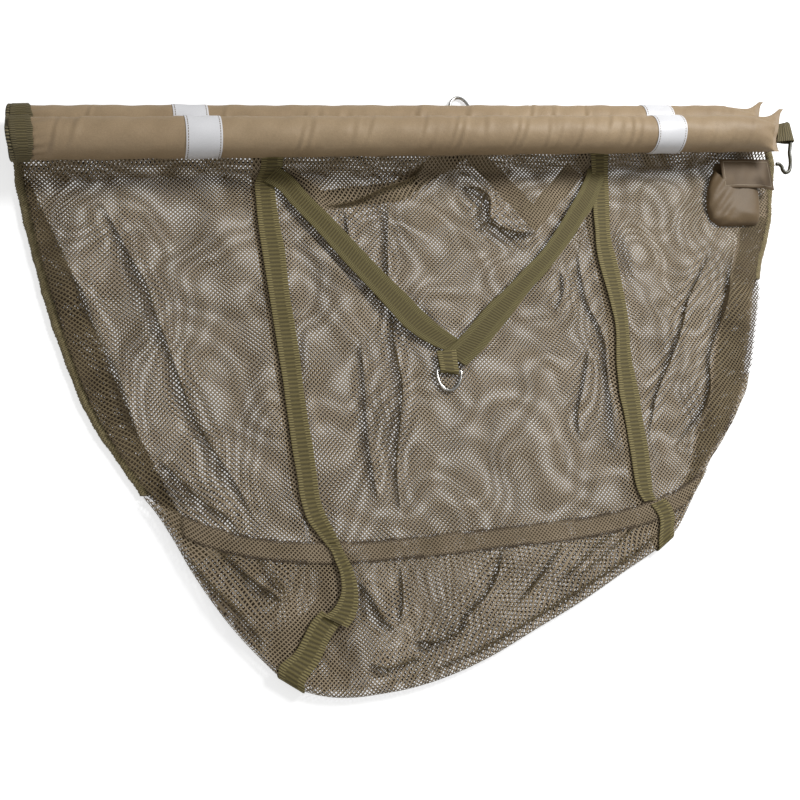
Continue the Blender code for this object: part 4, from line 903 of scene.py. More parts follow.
tone.color_ramp.elements[1].position, tone.color_ramp.elements[1].color = 0.70, linear("#a4966c")
face = add_node(tree, "Mix", {"data_type": "RGBA"},
                {0: gap.outputs[0], 6: tone.outputs[0], 7: linear("#4d4329")})
tree.links.new(face.outputs[2], shader.inputs["Base Color"])
dent = add_node(tree, "Bump", {"invert": True},
                {"Strength": 0.8, "Distance": 0.0005, "Height": gap.outputs[0]})
tree.links.new(dent.outputs[0], shader.inputs["Normal"])

for name, line, side, top, bottom, seed in (("left_side", LEFT_SIDE, -1, 0.3300, -0.137, 21),
                                            ("right_side", RIGHT_SIDE, 1, 0.3050, 0.104, 22)):
    edge = bound_edge(f"{name}_binding_tape", line, side, top, bottom, seed)
    edge.data.materials.append(binding_cloth)
    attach(edge, "rear_side")
    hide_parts(f"{name}_binding")

# The folded net low on the right: where it starts, its length round, and its radius for that
FOLDED_TOP, FOLDED_AROUND, FOLDED_RADIUS = 0.1560, 0.0352, 0.0056


def place_fold(flat):
    """The folded net at the foot of the right side: down its length, and round its section."""
    down, around = flat.T
    y = FOLDED_TOP - down
    turn = around / FOLDED_RADIUS
    wide = 0.0062 + 0.0008 * np.sin(y * 60) + 0.0005 * np.sin(y * 170)
    x = edge_x(LOW_RIGHT, y) - 0.0062 + wide * np.cos(turn) + 0.0006 * np.sin(y * 83)
    return np.stack([x, y, 0.0034 + 0.0027 * np.sin(turn)], -1)


def on_fold(down, around):
    """Inside the folded strip, apart from the stretch with a single layer."""
    double = single_layer(FOLDED_TOP - down) < 0.5
    return (down > 0.160) & (down < 0.380) & double & (around > 0) & (around < FOLDED_AROUND)


fold = net_mesh("right_side_folded_net", (0, 0), (0.385, FOLDED_AROUND), math.radians(45),
                on_fold, place_fold)
fold.data.materials.append(twine)
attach(fold, "rear_side")
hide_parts("right_side_binding")


# Main straps. Olive 30 mm polypropylene webbing, sewn under the front bar, over both layers of
# net, round the foot and back under the bag to the rear bar. Ribs cross both its edges, and a
# flatter band runs down its middle. Each strap creases and folds on the foot.
def webbing_finish(name, edge_dark, edge_light, middle_dark, middle_light, rib, bar):
    """Woven webbing: ribs across both edges and wider, fainter bars across the middle."""
    made, tree, shader = new_finish(name, {
        "Roughness": 0.72, "Specular IOR Level": 0.35, "Sheen Weight": 0.12,
        "Sheen Tint": linear("#a89c68")})
    uv = add_node(tree, "UVMap", {"uv_map": "cloth"}, {}).outputs[0]
    place = add_node(tree, "TexCoord", {}, {}).outputs["Object"]
    wobble = add_node(tree, "TexNoise", {}, {"Vector": place, "Scale": 240.0, "Detail": 2.0})
    parts = add_node(tree, "SeparateXYZ", {}, {0: uv})
    along = add_node(tree, "Math", {"operation": "MULTIPLY_ADD"},
                     {0: wobble.outputs[0], 1: 0.0009, 2: parts.outputs[0]})
    waves = []
    for period in (rib, bar):
        turn = add_node(tree, "Math", {"operation": "MULTIPLY"},
                        {0: along.outputs[0], 1: 2 * math.pi / period})
        wave = add_node(tree, "Math", {"operation": "SINE"}, {0: turn.outputs[0]})
        waves.append(add_node(tree, "MapRange", {},
                              {"Value": wave.outputs[0], "From Min": -0.8, "From Max": 0.8}))
    off = add_node(tree, "Math", {"operation": "ABSOLUTE"}, {0: parts.outputs[1]})
    at_edge = add_node(tree, "MapRange", {},
                       {"Value": off.outputs[0], "From Min": 0.0062, "From Max": 0.0085})
    colours = []
    for wave, dark, light in ((waves[0], edge_dark, edge_light), (waves[1], middle_dark, middle_light)):
        colours.append(add_node(tree, "Mix", {"data_type": "RGBA"},
                                {0: wave.outputs[0], 6: linear(dark), 7: linear(light)}))
    cloth = add_node(tree, "Mix", {"data_type": "RGBA"},
                     {0: at_edge.outputs[0], 6: colours[1].outputs[2], 7: colours[0].outputs[2]})
    # Threads cross at about 1 mm, drawn as fine light and dark flecks
    fleck = add_node(tree, "TexNoise", {}, {"Vector": place, "Scale": 1100.0, "Detail": 2.0})
    shade = add_node(tree, "MapRange", {}, {"Value": fleck.outputs[0], "From Min": 0.3, "From Max": 0.7,
                                            "To Min": 0.82, "To Max": 1.14})
    toned = add_node(tree, "HueSaturation", {}, {"Value": shade.outputs[0], "Color": cloth.outputs[2]})
    tree.links.new(toned.outputs[0], shader.inputs["Base Color"])
    ribbed = add_node(tree, "Mix", {"data_type": "FLOAT"},
                      {0: at_edge.outputs[0], 2: waves[1].outputs[0], 3: waves[0].outputs[0]})
    relief = add_node(tree, "Bump", {},
                      {"Strength": 0.8, "Distance": 0.00045, "Height": ribbed.outputs[0]})
    fine = add_node(tree, "Bump", {}, {"Strength": 0.4, "Distance": 0.0003, "Height": fleck.outputs[0],
                                       "Normal": relief.outputs[0]})
    tree.links.new(fine.outputs[0], shader.inputs["Normal"])
    return made


# How high the straps lie off the front net, and how askew the left one goes under the foot
STRAP_LIFT, STRAP_SLANT = 0.0018, 0.009


def over_net(edges):
    """Edge points of a strap that lies on the front net: both edges' x, at each y."""
    return [(lie_on_net(a, y, STRAP_LIFT), lie_on_net(b, y, STRAP_LIFT)) for a, b, y in edges]


def at_height(edges, z, step=0.0):
    """Edge points at a height, each pair a step higher than the one before it."""
    return [((*a, z + step * k), (*b, z + step * k)) for k, (a, b) in enumerate(edges)]


def on_floor(line, half, slant=0.0):
    """Edge points of a strap along a line under the bag, slanted where it leaves the foot's fold."""
    leans = [slant * (y < -0.3) for _, y in line]
    return [((x - half, y + lean, FLOOR_WEB_Z), (x + half, y - lean, FLOOR_WEB_Z))
            for (x, y), lean in zip(line, leans)]


def lie_on_net(x, y, lift):
    """A point at a height above the front net."""
    return x, y, float(front_net_height(np.array(x), np.array(y))) + lift


def under_foot(turn_x, half):
    """Edge points of a strap as it turns round the foot's fold."""
    left_y, right_y = (float(edge_y(FOOT_SIDE, turn_x + k * half)) for k in (-1, 1))
    fold_y, lean = (left_y + right_y) / 2 + FOLD_INSET, (right_y - left_y) / 2
    stations = []
    for k in range(7):
        turn = math.pi * k / 6
        y, z = fold_y - 0.0084 * math.sin(turn), 0.0092 + 0.0083 * math.cos(turn)
        stations.append(((turn_x - half, y - lean, z), (turn_x + half, y + lean, z)))
    for on in (0.010, 0.035):
        stations.append(((turn_x - half, fold_y - lean + on, FLOOR_WEB_Z),
                         (turn_x + half, fold_y + lean + on, FLOOR_WEB_Z)))
    return stations


# Both edges' colours, dark and light, the middle's, and how far apart the ribs and the bars are
strap_webbing = webbing_finish("ribbed_olive_webbing", "#564c2f", "#968a5c", "#574e31", "#766b42",
                               0.0034, 0.0056)
shade_painted_webbing = webbing_finish("olive_webbing_painted_shade", "#3a3424", "#5d563c", "#332d1f", "#4a432f",
                               0.0034, 0.0056)
# The straps' runs: both edges' x and their y on the front net, pairs of edge points at the seam
# and on the foot, and the line of their middle under the bag
LEFT_FRONT_EDGES = [
    (-0.2400, -0.2110, 0.3050), (-0.2420, -0.2125, 0.2900), (-0.2505, -0.2225, 0.2720),
    (-0.2521, -0.2252, 0.2460), (-0.2530, -0.2236, 0.2020), (-0.2522, -0.2216, 0.1735),
    (-0.2509, -0.2225, 0.1380), (-0.2496, -0.2227, 0.1030), (-0.2483, -0.2209, 0.0680),
    (-0.2471, -0.2198, 0.0335), (-0.2458, -0.2200, 0.0000), (-0.2453, -0.2202, -0.0340),
    (-0.2447, -0.2191, -0.0670), (-0.2441, -0.2174, -0.1000), (-0.2423, -0.2170, -0.1325),
    (-0.2411, -0.2166, -0.1650),
]
LEFT_SEAM_EDGES = [((-0.2357, -0.1908), (-0.2122, -0.1856)), ((-0.2274, -0.2055), (-0.2066, -0.2014)),
                   ((-0.2179, -0.2206), (-0.1994, -0.2218))]
RIGHT_FRONT_EDGES = [
    (0.2400, 0.2690, 0.3050), (0.2445, 0.2702, 0.2690), (0.2389, 0.2644, 0.2338),
    (0.2349, 0.2603, 0.2100), (0.2325, 0.2562, 0.1865), (0.2293, 0.2544, 0.1632),
    (0.2285, 0.2567, 0.1398), (0.2300, 0.2573, 0.1166), (0.2323, 0.2572, 0.0936),
    (0.2338, 0.2570, 0.0708), (0.2345, 0.2553, 0.0482), (0.2321, 0.2529, 0.0259),
    (0.2275, 0.2497, 0.0038), (0.2237, 0.2481, -0.0181), (0.2214, 0.2487, -0.0400),
    (0.2191, 0.2494, -0.0618), (0.2199, 0.2477, -0.0834), (0.2199, 0.2461, -0.1048),
    (0.2191, 0.2460, -0.1261), (0.2184, 0.2452, -0.1472), (0.2169, 0.2429, -0.1681),
    (0.2169, 0.2406, -0.1889), (0.2199, 0.2400, -0.2028), (0.2240, 0.2430, -0.2110),
]
LEFT_FOOT_EDGES = [
    ((-0.2179, -0.2216), (-0.1994, -0.2228)), ((-0.2117, -0.2310), (-0.1960, -0.2330)),
    ((-0.2083, -0.2438), (-0.1929, -0.2410)), ((-0.2049, -0.2566), (-0.1885, -0.2530)),
    ((-0.2042, -0.2702), (-0.1855, -0.2690)), ((-0.2058, -0.2824), (-0.1850, -0.2848)),
    ((-0.2125, -0.2950), (-0.1875, -0.3017)), ((-0.2211, -0.3037), (-0.1939, -0.3155)),
    ((-0.2317, -0.3090), (-0.2041, -0.3264)),
]
LEFT_LAST_EDGES = [
    ((-0.2330, -0.3020), (-0.2110, -0.3200)), ((-0.2458, -0.3126), (-0.2221, -0.3312)),
    ((-0.2547, -0.3247), (-0.2296, -0.3411)), ((-0.2636, -0.3378), (-0.2358, -0.3510)),
    ((-0.2724, -0.3480), (-0.2455, -0.3650)),
]
LEFT_BACK_LINE = [(-0.2440, -0.3150), (-0.2160, -0.2800), (-0.2080, -0.2450), (-0.2170, -0.2050),
                  (-0.2310, -0.1600), (-0.2350, -0.0700), (-0.2370, 0.0300), (-0.2400, 0.1300),
                  (-0.2420, 0.2500), (-0.2268, 0.3500)]
RIGHT_BACK_LINE = [(0.2360, -0.2150), (0.2320, -0.1600), (0.2330, -0.0900), (0.2340, -0.0200),
                   (0.2440, 0.0500), (0.2440, 0.1200), (0.2430, 0.2000), (0.2510, 0.2700),
                   (0.2539, 0.3500)]
RIGHT_FOOT_EDGES = [
    ((0.2325, -0.2165), (0.2550, -0.2100)), ((0.2381, -0.2260), (0.2618, -0.2200)),
    ((0.2413, -0.2360), (0.2640, -0.2328)),
]
straps = {
    "left_strap_front_web": ("front_side", "left_strap_front", 0.0007,
                             over_net(LEFT_FRONT_EDGES) + at_height(LEFT_SEAM_EDGES, 0.0172)),
    "right_strap_front_web": ("front_side", "right_strap_front", 0.0007, over_net(RIGHT_FRONT_EDGES)),
    "left_strap_foot_web": ("rear_side", "left_strap_foot", 0.0005,
                            at_height(LEFT_FOOT_EDGES, 0.0176, 0.0004)),
    "left_strap_back_web": ("rear_side", "left_strap_foot", 0.0,
                            at_height(LEFT_LAST_EDGES, 0.0175) + under_foot(-0.2785, 0.0145)
                            + on_floor(LEFT_BACK_LINE, 0.0140, STRAP_SLANT)),
    "right_strap_foot_web": ("rear_side", "right_strap_foot", 0.0,
                             at_height(RIGHT_FOOT_EDGES, 0.0179) + under_foot(0.2460, 0.0130)
                             + on_floor(RIGHT_BACK_LINE, 0.0135)),
}
for k, (name, (body, node, curl, stations)) in enumerate(straps.items()):
    strap = webbing_mesh(name, stations, curl=curl, wave=0.0006 if curl else 0.0, seed=31 + k)
    strap.data.materials.append(strap_webbing)
    strap.data.materials.append(shade_painted_webbing)
    # What lies under the net gets painted shade: a darker copy of the webbing
    for face in strap.data.polygons:
        face.material_index = 1 if face.center.z < 0.0045 else 0
    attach(strap, body)
    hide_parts(node)


# Front carrying handle. Two arms of smoother olive webbing sewn on with the main straps, laid
# down as a V on the net. The right arm lies over the left one where they meet, and a tab of
# the same webbing folds round the straight side of a D ring.
handle_webbing = webbing_finish("smooth_olive_webbing", "#574f32", "#82784c", "#544b2d", "#6e643d",
                                0.0024, 0.0041)
LEFT_ARM_EDGES = [
    ((-0.2385, 0.2720), (-0.2170, 0.2915)), ((-0.2212, 0.2592), (-0.2010, 0.2796)),
    ((-0.2073, 0.2383), (-0.1871, 0.2585)), ((-0.1933, 0.2188), (-0.1730, 0.2389)),
    ((-0.1769, 0.1964), (-0.1563, 0.2178)), ((-0.1608, 0.1726), (-0.1399, 0.1952)),
    ((-0.1435, 0.1473), (-0.1223, 0.1712)), ((-0.1261, 0.1236), (-0.1035, 0.1457)),
    ((-0.1086, 0.0998), (-0.0846, 0.1217)), ((-0.0913, 0.0761), (-0.0655, 0.0991)),
    ((-0.0751, 0.0539), (-0.0478, 0.0767)), ((-0.0600, 0.0409), (-0.0303, 0.0568)),
    ((-0.0380, 0.0259), (-0.0103, 0.0399)), ((-0.0180, 0.0160), (0.0060, 0.0280)),
]
RIGHT_ARM_EDGES = [
    ((0.2400, 0.2830), (0.2640, 0.2700)), ((0.2297, 0.2649), (0.2500, 0.2450)),
    ((0.2142, 0.2429), (0.2313, 0.2176)), ((0.1973, 0.2212), (0.2149, 0.2009)),
    ((0.1788, 0.1983), (0.1963, 0.1781)), ((0.1569, 0.1727), (0.1748, 0.1558)),
    ((0.1377, 0.1520), (0.1553, 0.1357)), ((0.1145, 0.1333), (0.1355, 0.1169)),
    ((0.0914, 0.1133), (0.1142, 0.0988)), ((0.0689, 0.0951), (0.0942, 0.0791)),
    ((0.0470, 0.0786), (0.0741, 0.0581)), ((0.0246, 0.0580), (0.0566, 0.0417)),
    ((0.0041, 0.0390), (0.0390, 0.0240)), ((-0.0123, 0.0257), (0.0204, 0.0081)),
    ((-0.0260, 0.0170), (0.0021, -0.0050)),
]
ARM_BOW = 0.0055
# Each arm's edges, and its height off the net at the bar and at the ring; it bows up between them
arms = {
    "front_handle_left": (LEFT_ARM_EDGES, 0.0038, 0.0040),
    "front_handle_right": (RIGHT_ARM_EDGES, 0.0042, 0.0058),
}
for k, (name, (edges, start, end)) in enumerate(arms.items()):
    stations = []
    for i, (a, b) in enumerate(edges):
        share = i / (len(edges) - 1)
        lift = start + (end - start) * share + ARM_BOW * math.sin(math.pi * share)
        stations.append((lie_on_net(*a, lift), lie_on_net(*b, lift)))
    arm = webbing_mesh(f"{name}_web", stations, curl=0.0004, wave=0.0005, seed=41 + k)
    arm.data.materials.append(handle_webbing)
    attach(arm, "front_handle")
    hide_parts(name)

RING_X, RING_Y, RING_Z = -0.0222, -0.0098, 0.0195
RING_TILT = math.radians(-9.0)
TAB_TURN, TAB_HALF = 0.0032, 0.0140


def round_the_ring(start, end, ring_y, ring_z, spread):
    """Y and z of a strap from its start points, round the ring and on to its end points."""
    turns = [math.radians(spread[0] + (spread[1] - spread[0]) * k / 8) for k in range(9)]
    return start + [(ring_y + TAB_TURN * math.cos(t), ring_z + TAB_TURN * math.sin(t)) for t in turns] + end


path = round_the_ring([(0.0177, 0.0222), (0.0100, 0.0223), (0.0020, 0.0224), (-0.0050, 0.0226)],
                      [(-0.0040, 0.0163), (0.0000, 0.0163)], RING_Y, RING_Z, (95, 270))
stations = []
for y, z in path:
    # It leaves the arms square and narrows and turns with the ring
    share = min(max((0.0177 - y) / 0.02, 0), 1)
    lean, half = TAB_HALF * math.tan(RING_TILT) * share, TAB_HALF - 0.0002 - 0.0010 * share
    stations.append(((RING_X - half, y - lean, z), (RING_X + half, y + lean, z)))
tab = webbing_mesh("front_ring_tab_web", stations, seed=45, step=0.0009)
tab.data.materials.append(strap_webbing)
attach(tab, "front_handle")
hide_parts("front_ring_tab")


# D rings. Nickel-plated steel wire 4.4 mm thick, bent to a D 38 mm wide and butt-welded in the
# straight side, which the webbing hides. Bright and smooth, with a few fine rub marks.
RING_WIRE, RING_HALF, RING_BAR = 0.0022, 0.0170, 0.0155
REAR_RING_X, REAR_RING_Y, REAR_RING_Z = 0.0630, 0.3774, 0.0041


def bent_wire(name, points, radius, closed):
    """A round wire through points, made as a curve with a round bevel and turned into a mesh."""
    bpy.ops.curve.primitive_nurbs_path_add(location=(0, 0, 0))
    made = bpy.context.object
    made.name = name
    made.data.splines.clear()
    spline = made.data.splines.new("POLY")
    spline.points.add(len(points) - 1)
    spline.points.foreach_set("co", np.concatenate([points, np.ones((len(points), 1))], 1).ravel())
    spline.use_cyclic_u = closed
    made.data.bevel_depth = radius
    made.data.bevel_resolution = 5
    made.data.use_fill_caps = not closed
    bpy.ops.object.convert(target="MESH")
    bpy.ops.object.shade_smooth_by_angle(angle=math.radians(50))
    bpy.context.object.select_set(False)
    return made


nickel, tree, shader = new_finish("nickel_plated_steel", {"Metallic": 1.0})
place = add_node(tree, "TexCoord", {}, {}).outputs["Object"]
rubs = add_node(tree, "TexNoise", {}, {"Vector": place, "Scale": 600.0, "Detail": 4.0})
gloss = add_node(tree, "MapRange", {}, {"Value": rubs.outputs[0], "To Min": 0.10, "To Max": 0.30})
tint = add_node(tree, "ValToRGB", {}, {"Fac": rubs.outputs[0]})
tint.color_ramp.elements[0].color = linear("#bdbbb6")
tint.color_ramp.elements[1].color = linear("#dddbd6")
tree.links.new(gloss.outputs[0], shader.inputs["Roughness"])
tree.links.new(tint.outputs[0], shader.inputs["Base Color"])

for name, body, at, side, tilt, height in (
        ("front", "front_ring", (RING_X, RING_Y, RING_Z), -1, RING_TILT, 0.0272),
        ("rear", "rear_ring", (REAR_RING_X, REAR_RING_Y, REAR_RING_Z), 1, 0.0, 0.0305)):
    turn = np.linspace(0, math.pi, 49)
    bow = np.stack([RING_HALF * np.cos(turn), side * height * np.sin(turn) ** 0.92], -1)
    bar = np.stack([np.linspace(-RING_BAR, RING_BAR, 9), np.zeros(9)], -1)
    flat = np.concatenate([bow, bar])
    c, s = math.cos(tilt), math.sin(tilt)
    points = np.stack([at[0] + c * flat[:, 0] - s * flat[:, 1], at[1] + s * flat[:, 0] + c * flat[:, 1],
                       np.full(len(flat), at[2])], -1)
    ring = bent_wire(f"{name}_ring_wire", points, RING_WIRE, True)
    ring.data.materials.append(nickel)
    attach(ring, body)
    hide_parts(f"{name}_d_ring")


# Rear carrying handle. The same webbing under the bag, its slack folded forward, ending in a
# tab round a second D ring that lies behind the rear bar.
faded_webbing = webbing_finish("faded_olive_webbing", "#6d6449", "#8d8463", "#6b6249", "#857b5e",
                               0.0034, 0.0056)


def mitred(points, half, z):
    """Pairs of edge points along straight runs, square across their ends and mitred at their folds."""
    line = [np.array(p) for p in points]
    ways = [(b - a) / np.linalg.norm(b - a) for a, b in zip(line, line[1:])]
    stations = []
    for k, point in enumerate(line):
        before, after = ways[max(k - 1, 0)], ways[min(k, len(ways) - 1)]
        middle = (before + after) / np.linalg.norm(before + after)
        reach = np.array([middle[1], -middle[0]]) * half / (middle @ before)
        stations.append(((*(point - reach), z), (*(point + reach), z)))
    return stations


for name, top_x, side in (("left", -0.2127, 1), ("right", 0.2366, -1)):
    end_x = REAR_RING_X - side * 0.0002
    folds = [(-0.1640, 0.2500), (-0.0500, 0.2620)] if side > 0 else [((top_x + end_x) / 2, 0.2157)]
    line = [(top_x + side * 0.008, 0.2920), *folds, (end_x - side * 0.002, 0.3290)]
    stations = mitred(line, 0.0148, FLOOR_WEB_Z)
    arm = webbing_mesh(f"rear_handle_{name}_web", stations if side > 0 else [(b, a) for a, b in stations],
                       seed=51, rounded=False, step=0.0025)
    arm.data.materials.append(faded_webbing)
    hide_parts(f"rear_handle_{name}")
    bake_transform(arm)

path = round_the_ring([(0.3340, 0.0026), (0.3420, 0.0024), (0.3520, FLOOR_WEB_Z), (0.3620, FLOOR_WEB_Z),
                       (0.3743, FLOOR_WEB_Z)], [], REAR_RING_Y, REAR_RING_Z, (255, 455))
tab = webbing_mesh("rear_ring_tab_web",
                   [((REAR_RING_X - TAB_HALF, y, z), (REAR_RING_X + TAB_HALF, y, z)) for y, z in path],
                   seed=46, step=0.0009)
tab.data.materials.append(strap_webbing)
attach(tab, "rear_pull")
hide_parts("rear_ring_tab")


# Left cuff. Webbing gathered on elastic round the left ends of both bars: a wrap on each bar,
# open where the bars touch, and a drawn-up end that closes both. Its gathers stand in close
# ribs along the bars, with painted shade between them and a painted highlight on each.
RIB_PITCH, CUFF_RADIUS = 0.0043, 0.0283
# The gathers' colour: painted shade in their hollows and painted highlight on their crests, at the ribs'
# pitch
cuff_webbing = webbing_finish("gathered_cuff_webbing", "#2f2a1e", "#8d8262", "#4a432f", "#6a6146",
                              RIB_PITCH, 0.0031)
wrap_webbing = webbing_finish("fuzzy_cuff_webbing", "#49422c", "#7a6f50", "#524a33", "#736847",
                              0.0026, 0.0037)


def cuff_round(bar, toward):
    """How far the cuff's end draws in towards the back of the rear bar and the front of the front bar."""
    return 0.0045 * np.clip(toward, 0, 1) ** 2 if bar == "rear" else 0.0040 * np.clip(-toward, 0, 1) ** 2


# The wraps are open by 60 degrees about the side where the bars touch
for bar, open_side in (("rear", 135), ("front", -45)):
    middle_y, middle_z = BARS[bar]
    stations = []
    for k in range(41):
        turn = math.radians(open_side + 30 + 300 * k / 40)
        radius = 0.0277 + 0.0004 * math.sin(k * 1.9)
        y, z = middle_y + radius * math.cos(turn), middle_z + radius * math.sin(turn)
        lean = -0.0020 + 0.0062 * math.sin(turn - 0.2) + 0.0005 * math.sin(turn * 9)
        end = -0.5552 + cuff_round(bar, math.cos(turn))
        stations.append(((-0.5320 + lean, y, max(z, 0.0009)), (end, y, max(z, 0.0009))))
    wrap = webbing_mesh(f"left_cuff_{bar}_wrap", stations, thickness=0.0017, wave=0.0006, seed=61,
                        step=0.0010)
    wrap.data.materials.append(wrap_webbing)
    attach(wrap, f"{bar}_side")
    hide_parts(f"left_wrap_{bar}")

# The drawn-up end's outline goes round both bars: a bar's middle, and the way out from it
outline, drawn = [], []
for bar, start in (("rear", -90), ("front", 90)):
    for k in range(60):
        turn = math.radians(start + 180 * k / 59)
        outline.append((*BARS[bar], math.cos(turn), math.sin(turn)))
        drawn.append(cuff_round(bar, math.cos(turn)))
outline, drawn = np.array(outline), np.array(drawn)
middle, way = outline[:, :2], outline[:, 2:]
run = np.concatenate([[0], np.cumsum(np.hypot(*np.diff(middle + 0.028 * way, axis=0).T))])
# X and radius, from its mouth over its rim and in to its middle
profile = [(-0.5553, 0.0262), (-0.5553, 0.0276), (-0.5562, 0.0281), (-0.5580, 0.0283), (-0.5598, 0.0279),
           (-0.5605, 0.0266), (-0.5602, 0.0240), (-0.5594, 0.0200), (-0.5586, 0.0150), (-0.5582, 0.0100),
           (-0.5582, 0.0050), (-0.5584, 0.0015)]
rings = []
for x, radius in profile:
    # Its gathers stand out round the rim, and along the bars on its end face
    ribs = 0.0007 * np.sin(run * 2 * math.pi / RIB_PITCH) * min(1, radius / 0.02)
    on_rim = radius > 0.025
    off = np.minimum(radius + ribs * on_rim, CUFF_RADIUS)
    along_x = x + ribs * (not on_rim) + drawn * (radius / CUFF_RADIUS) ** 2
    rings.append(np.concatenate([along_x[:, None], middle + off[:, None] * way], 1))
across = 0.0140 - 0.0002 * np.arange(len(profile))
uv = np.stack(np.broadcast_arrays(run[None, :], across[:, None]), -1)
gather = tube_mesh("left_end_gathered_web", np.array(rings), True, uv)
gather.data.materials.append(cuff_webbing)
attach(gather, "rear_side")
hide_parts("left_end_gather")


# End loop and hook. A loop of webbing sewn into the front sleeve's flat end, and a hook of
# 3.6 mm plastic-coated wire whose shank lies in it, for clipping the rolled sling shut. Its
# wire is drawn 5.4 mm thick, as it looks in the photograph.
LOOP_X, LOOP_RADIUS, LOOP_HALF = 0.55455, 0.0052, 0.0150
FRONT_BAR_Y, FRONT_BAR_Z = BARS["front"]
mouth = [(0.5363, 0.0018), (0.5420, 0.0032), (0.5465, 0.0046)]
path = mouth + [(LOOP_X + LOOP_RADIUS * math.cos(t), LOOP_RADIUS * math.sin(t))
                for t in [math.radians(100 - 200 * k / 10) for k in range(11)]]
path += [(x, -z) for x, z in mouth[::-1]]
stations = []
for x, z in path:
    # Towards the sleeve it is drawn askew
    lean = 0.0052 * min(max((0.5500 - x) / 0.0137, 0), 1)
    stations.append(((x + lean, FRONT_BAR_Y + LOOP_HALF, FRONT_BAR_Z + z),
                     (x - lean, FRONT_BAR_Y - LOOP_HALF, FRONT_BAR_Z + z)))
loop = webbing_mesh("right_end_loop_web", stations, seed=71, step=0.0008)
loop.data.materials.append(wrap_webbing)
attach(loop, "front_side")
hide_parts("right_end_loop")

# Vinyl coating: smooth and slightly glossy, worn paler in patches
coated, tree, shader = new_finish("plastic_coated_wire", {})
place = add_node(tree, "TexCoord", {}, {}).outputs["Object"]
worn = add_node(tree, "TexNoise", {}, {"Vector": place, "Scale": 300.0, "Detail": 3.0})
tone = add_node(tree, "ValToRGB", {}, {"Fac": worn.outputs[0]})
tone.color_ramp.elements[0].position, tone.color_ramp.elements[0].color = 0.35, linear("#353326")
tone.color_ramp.elements[1].position, tone.color_ramp.elements[1].color = 0.75, linear("#59563f")
gloss = add_node(tree, "MapRange", {}, {"Value": worn.outputs[0], "To Min": 0.22, "To Max": 0.45})
tree.links.new(tone.outputs[0], shader.inputs["Base Color"])
tree.links.new(gloss.outputs[0], shader.inputs["Roughness"])
HOOK_X, HOOK_WIRE = 0.5569, 0.0027
# Its route from the shank to the point, from the middle of the front bar's end
HOOK_ROUTE = [
    (0.0, 0.0180, 0.0), (0.0, 0.0, 0.0), (-0.0020, -0.0150, 0.0), (-0.0052, -0.0235, 0.0),
    (-0.0082, -0.0328, -0.0003), (-0.0095, -0.0438, -0.0005), (-0.0125, -0.0545, -0.0008),
    (-0.0178, -0.0628, -0.0010), (-0.0232, -0.0642, -0.0012), (-0.0262, -0.0596, -0.0015),
    (-0.0262, -0.0542, -0.0018), (-0.0290, -0.0500, -0.0022), (-0.0340, -0.0494, -0.0026),
]
route, _ = even_steps([(HOOK_X + x, FRONT_BAR_Y + y, FRONT_BAR_Z + z) for x, y, z in HOOK_ROUTE],
                      0.0008, True)
hook = bent_wire("end_hook_wire", route, HOOK_WIRE, False)
hook.data.materials.append(coated)
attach(hook, "hook")
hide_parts("end_hook")


# Pouch and flap. A small bag of the same nylon, sewn to the front net by its back and open at
# the top, slack and puckered at its left. A stiffer flap, hemmed and stitched 4 mm inside its
# edges, covers the mouth.
POUCH_LEFT = [(0.186, 0.4330), (0.196, 0.4225), (0.217, 0.4205), (0.2416, 0.4260), (0.258, 0.4335),
              (0.271, 0.4420), (0.2870, 0.4480)]
POUCH_RIGHT = [(0.184, 0.4990), (0.190, 0.5040), (0.215, 0.5090), (0.2395, 0.5120), (0.2870, 0.5090)]
POUCH_FOOT, POUCH_HEAD, LIP = 0.1865, 0.2860, 0.2600


def pouch_points(run, turn, inside):
    """The pouch's cloth: run goes from its foot to its mouth, turn round it from its right side."""
    front = np.sin(turn) > 0
    head = np.where(front, POUCH_HEAD + (LIP - POUCH_HEAD) * np.abs(np.sin(turn)) ** 0.5, POUCH_HEAD)
    y = POUCH_FOOT + (head - POUCH_FOOT) * run
    left = np.interp(y, [p[0] for p in POUCH_LEFT], [p[1] for p in POUCH_LEFT])
    right = np.interp(y, [p[0] for p in POUCH_RIGHT], [p[1] for p in POUCH_RIGHT])
    close = np.clip((y - POUCH_FOOT) / 0.016, 0, 1)
    full = np.sqrt(np.clip(1 - (1 - close) ** 2, 0, 1))
    wide = (right - left) / 2 * (0.90 + 0.10 * full) - inside
    x = (left + right) / 2 + wide * np.sign(np.cos(turn)) * np.abs(np.cos(turn)) ** 0.75
    base = 0.0160 + (y - 0.1902) * math.tan(math.radians(4))
    puff = (0.0128 * full + 0.0012) * np.abs(np.sin(turn)) ** 0.62 - inside
    fold = 0.0011 * np.sin((x - y) * 260 + 1.0) * np.exp(-((x - 0.443) / 0.022) ** 2)
    fold += 0.0007 * np.sin((x * 0.4 + y) * 210) * np.exp(-((y - 0.197) / 0.013) ** 2)
    sag = 0.0014 * np.exp(-((x - 0.470) / 0.020) ** 2 - ((y - 0.235) / 0.020) ** 2)
    z = np.where(front, base + np.maximum(puff + (fold - sag) * np.abs(np.sin(turn)) * full, 0.0002),
                 base + inside * 0.6)
    return np.stack([x, y, z], -1)


run, turn = np.meshgrid(np.linspace(0.0, 1.0, 70), np.linspace(0, 2 * math.pi, 96, endpoint=False),
                        indexing="ij")
outer = pouch_points(run, turn, 0.0)
inner = pouch_points(0.03 + run[::-1] * 0.97, turn, 0.0011)
uv = np.stack([turn * 0.025, run * 0.1], -1)
pouch = tube_mesh("pouch_cloth", np.concatenate([outer, inner]), True, np.concatenate([uv, uv[::-1]]))
# The pouch's copy keeps the sleeve's painted shade towards the right end
pouch.data.materials.append(recoloured(nylon, "soft_nylon_pouch", "#6f5c43", "#7e6a4f"))
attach(pouch, "front_side")
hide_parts("pouch_body")

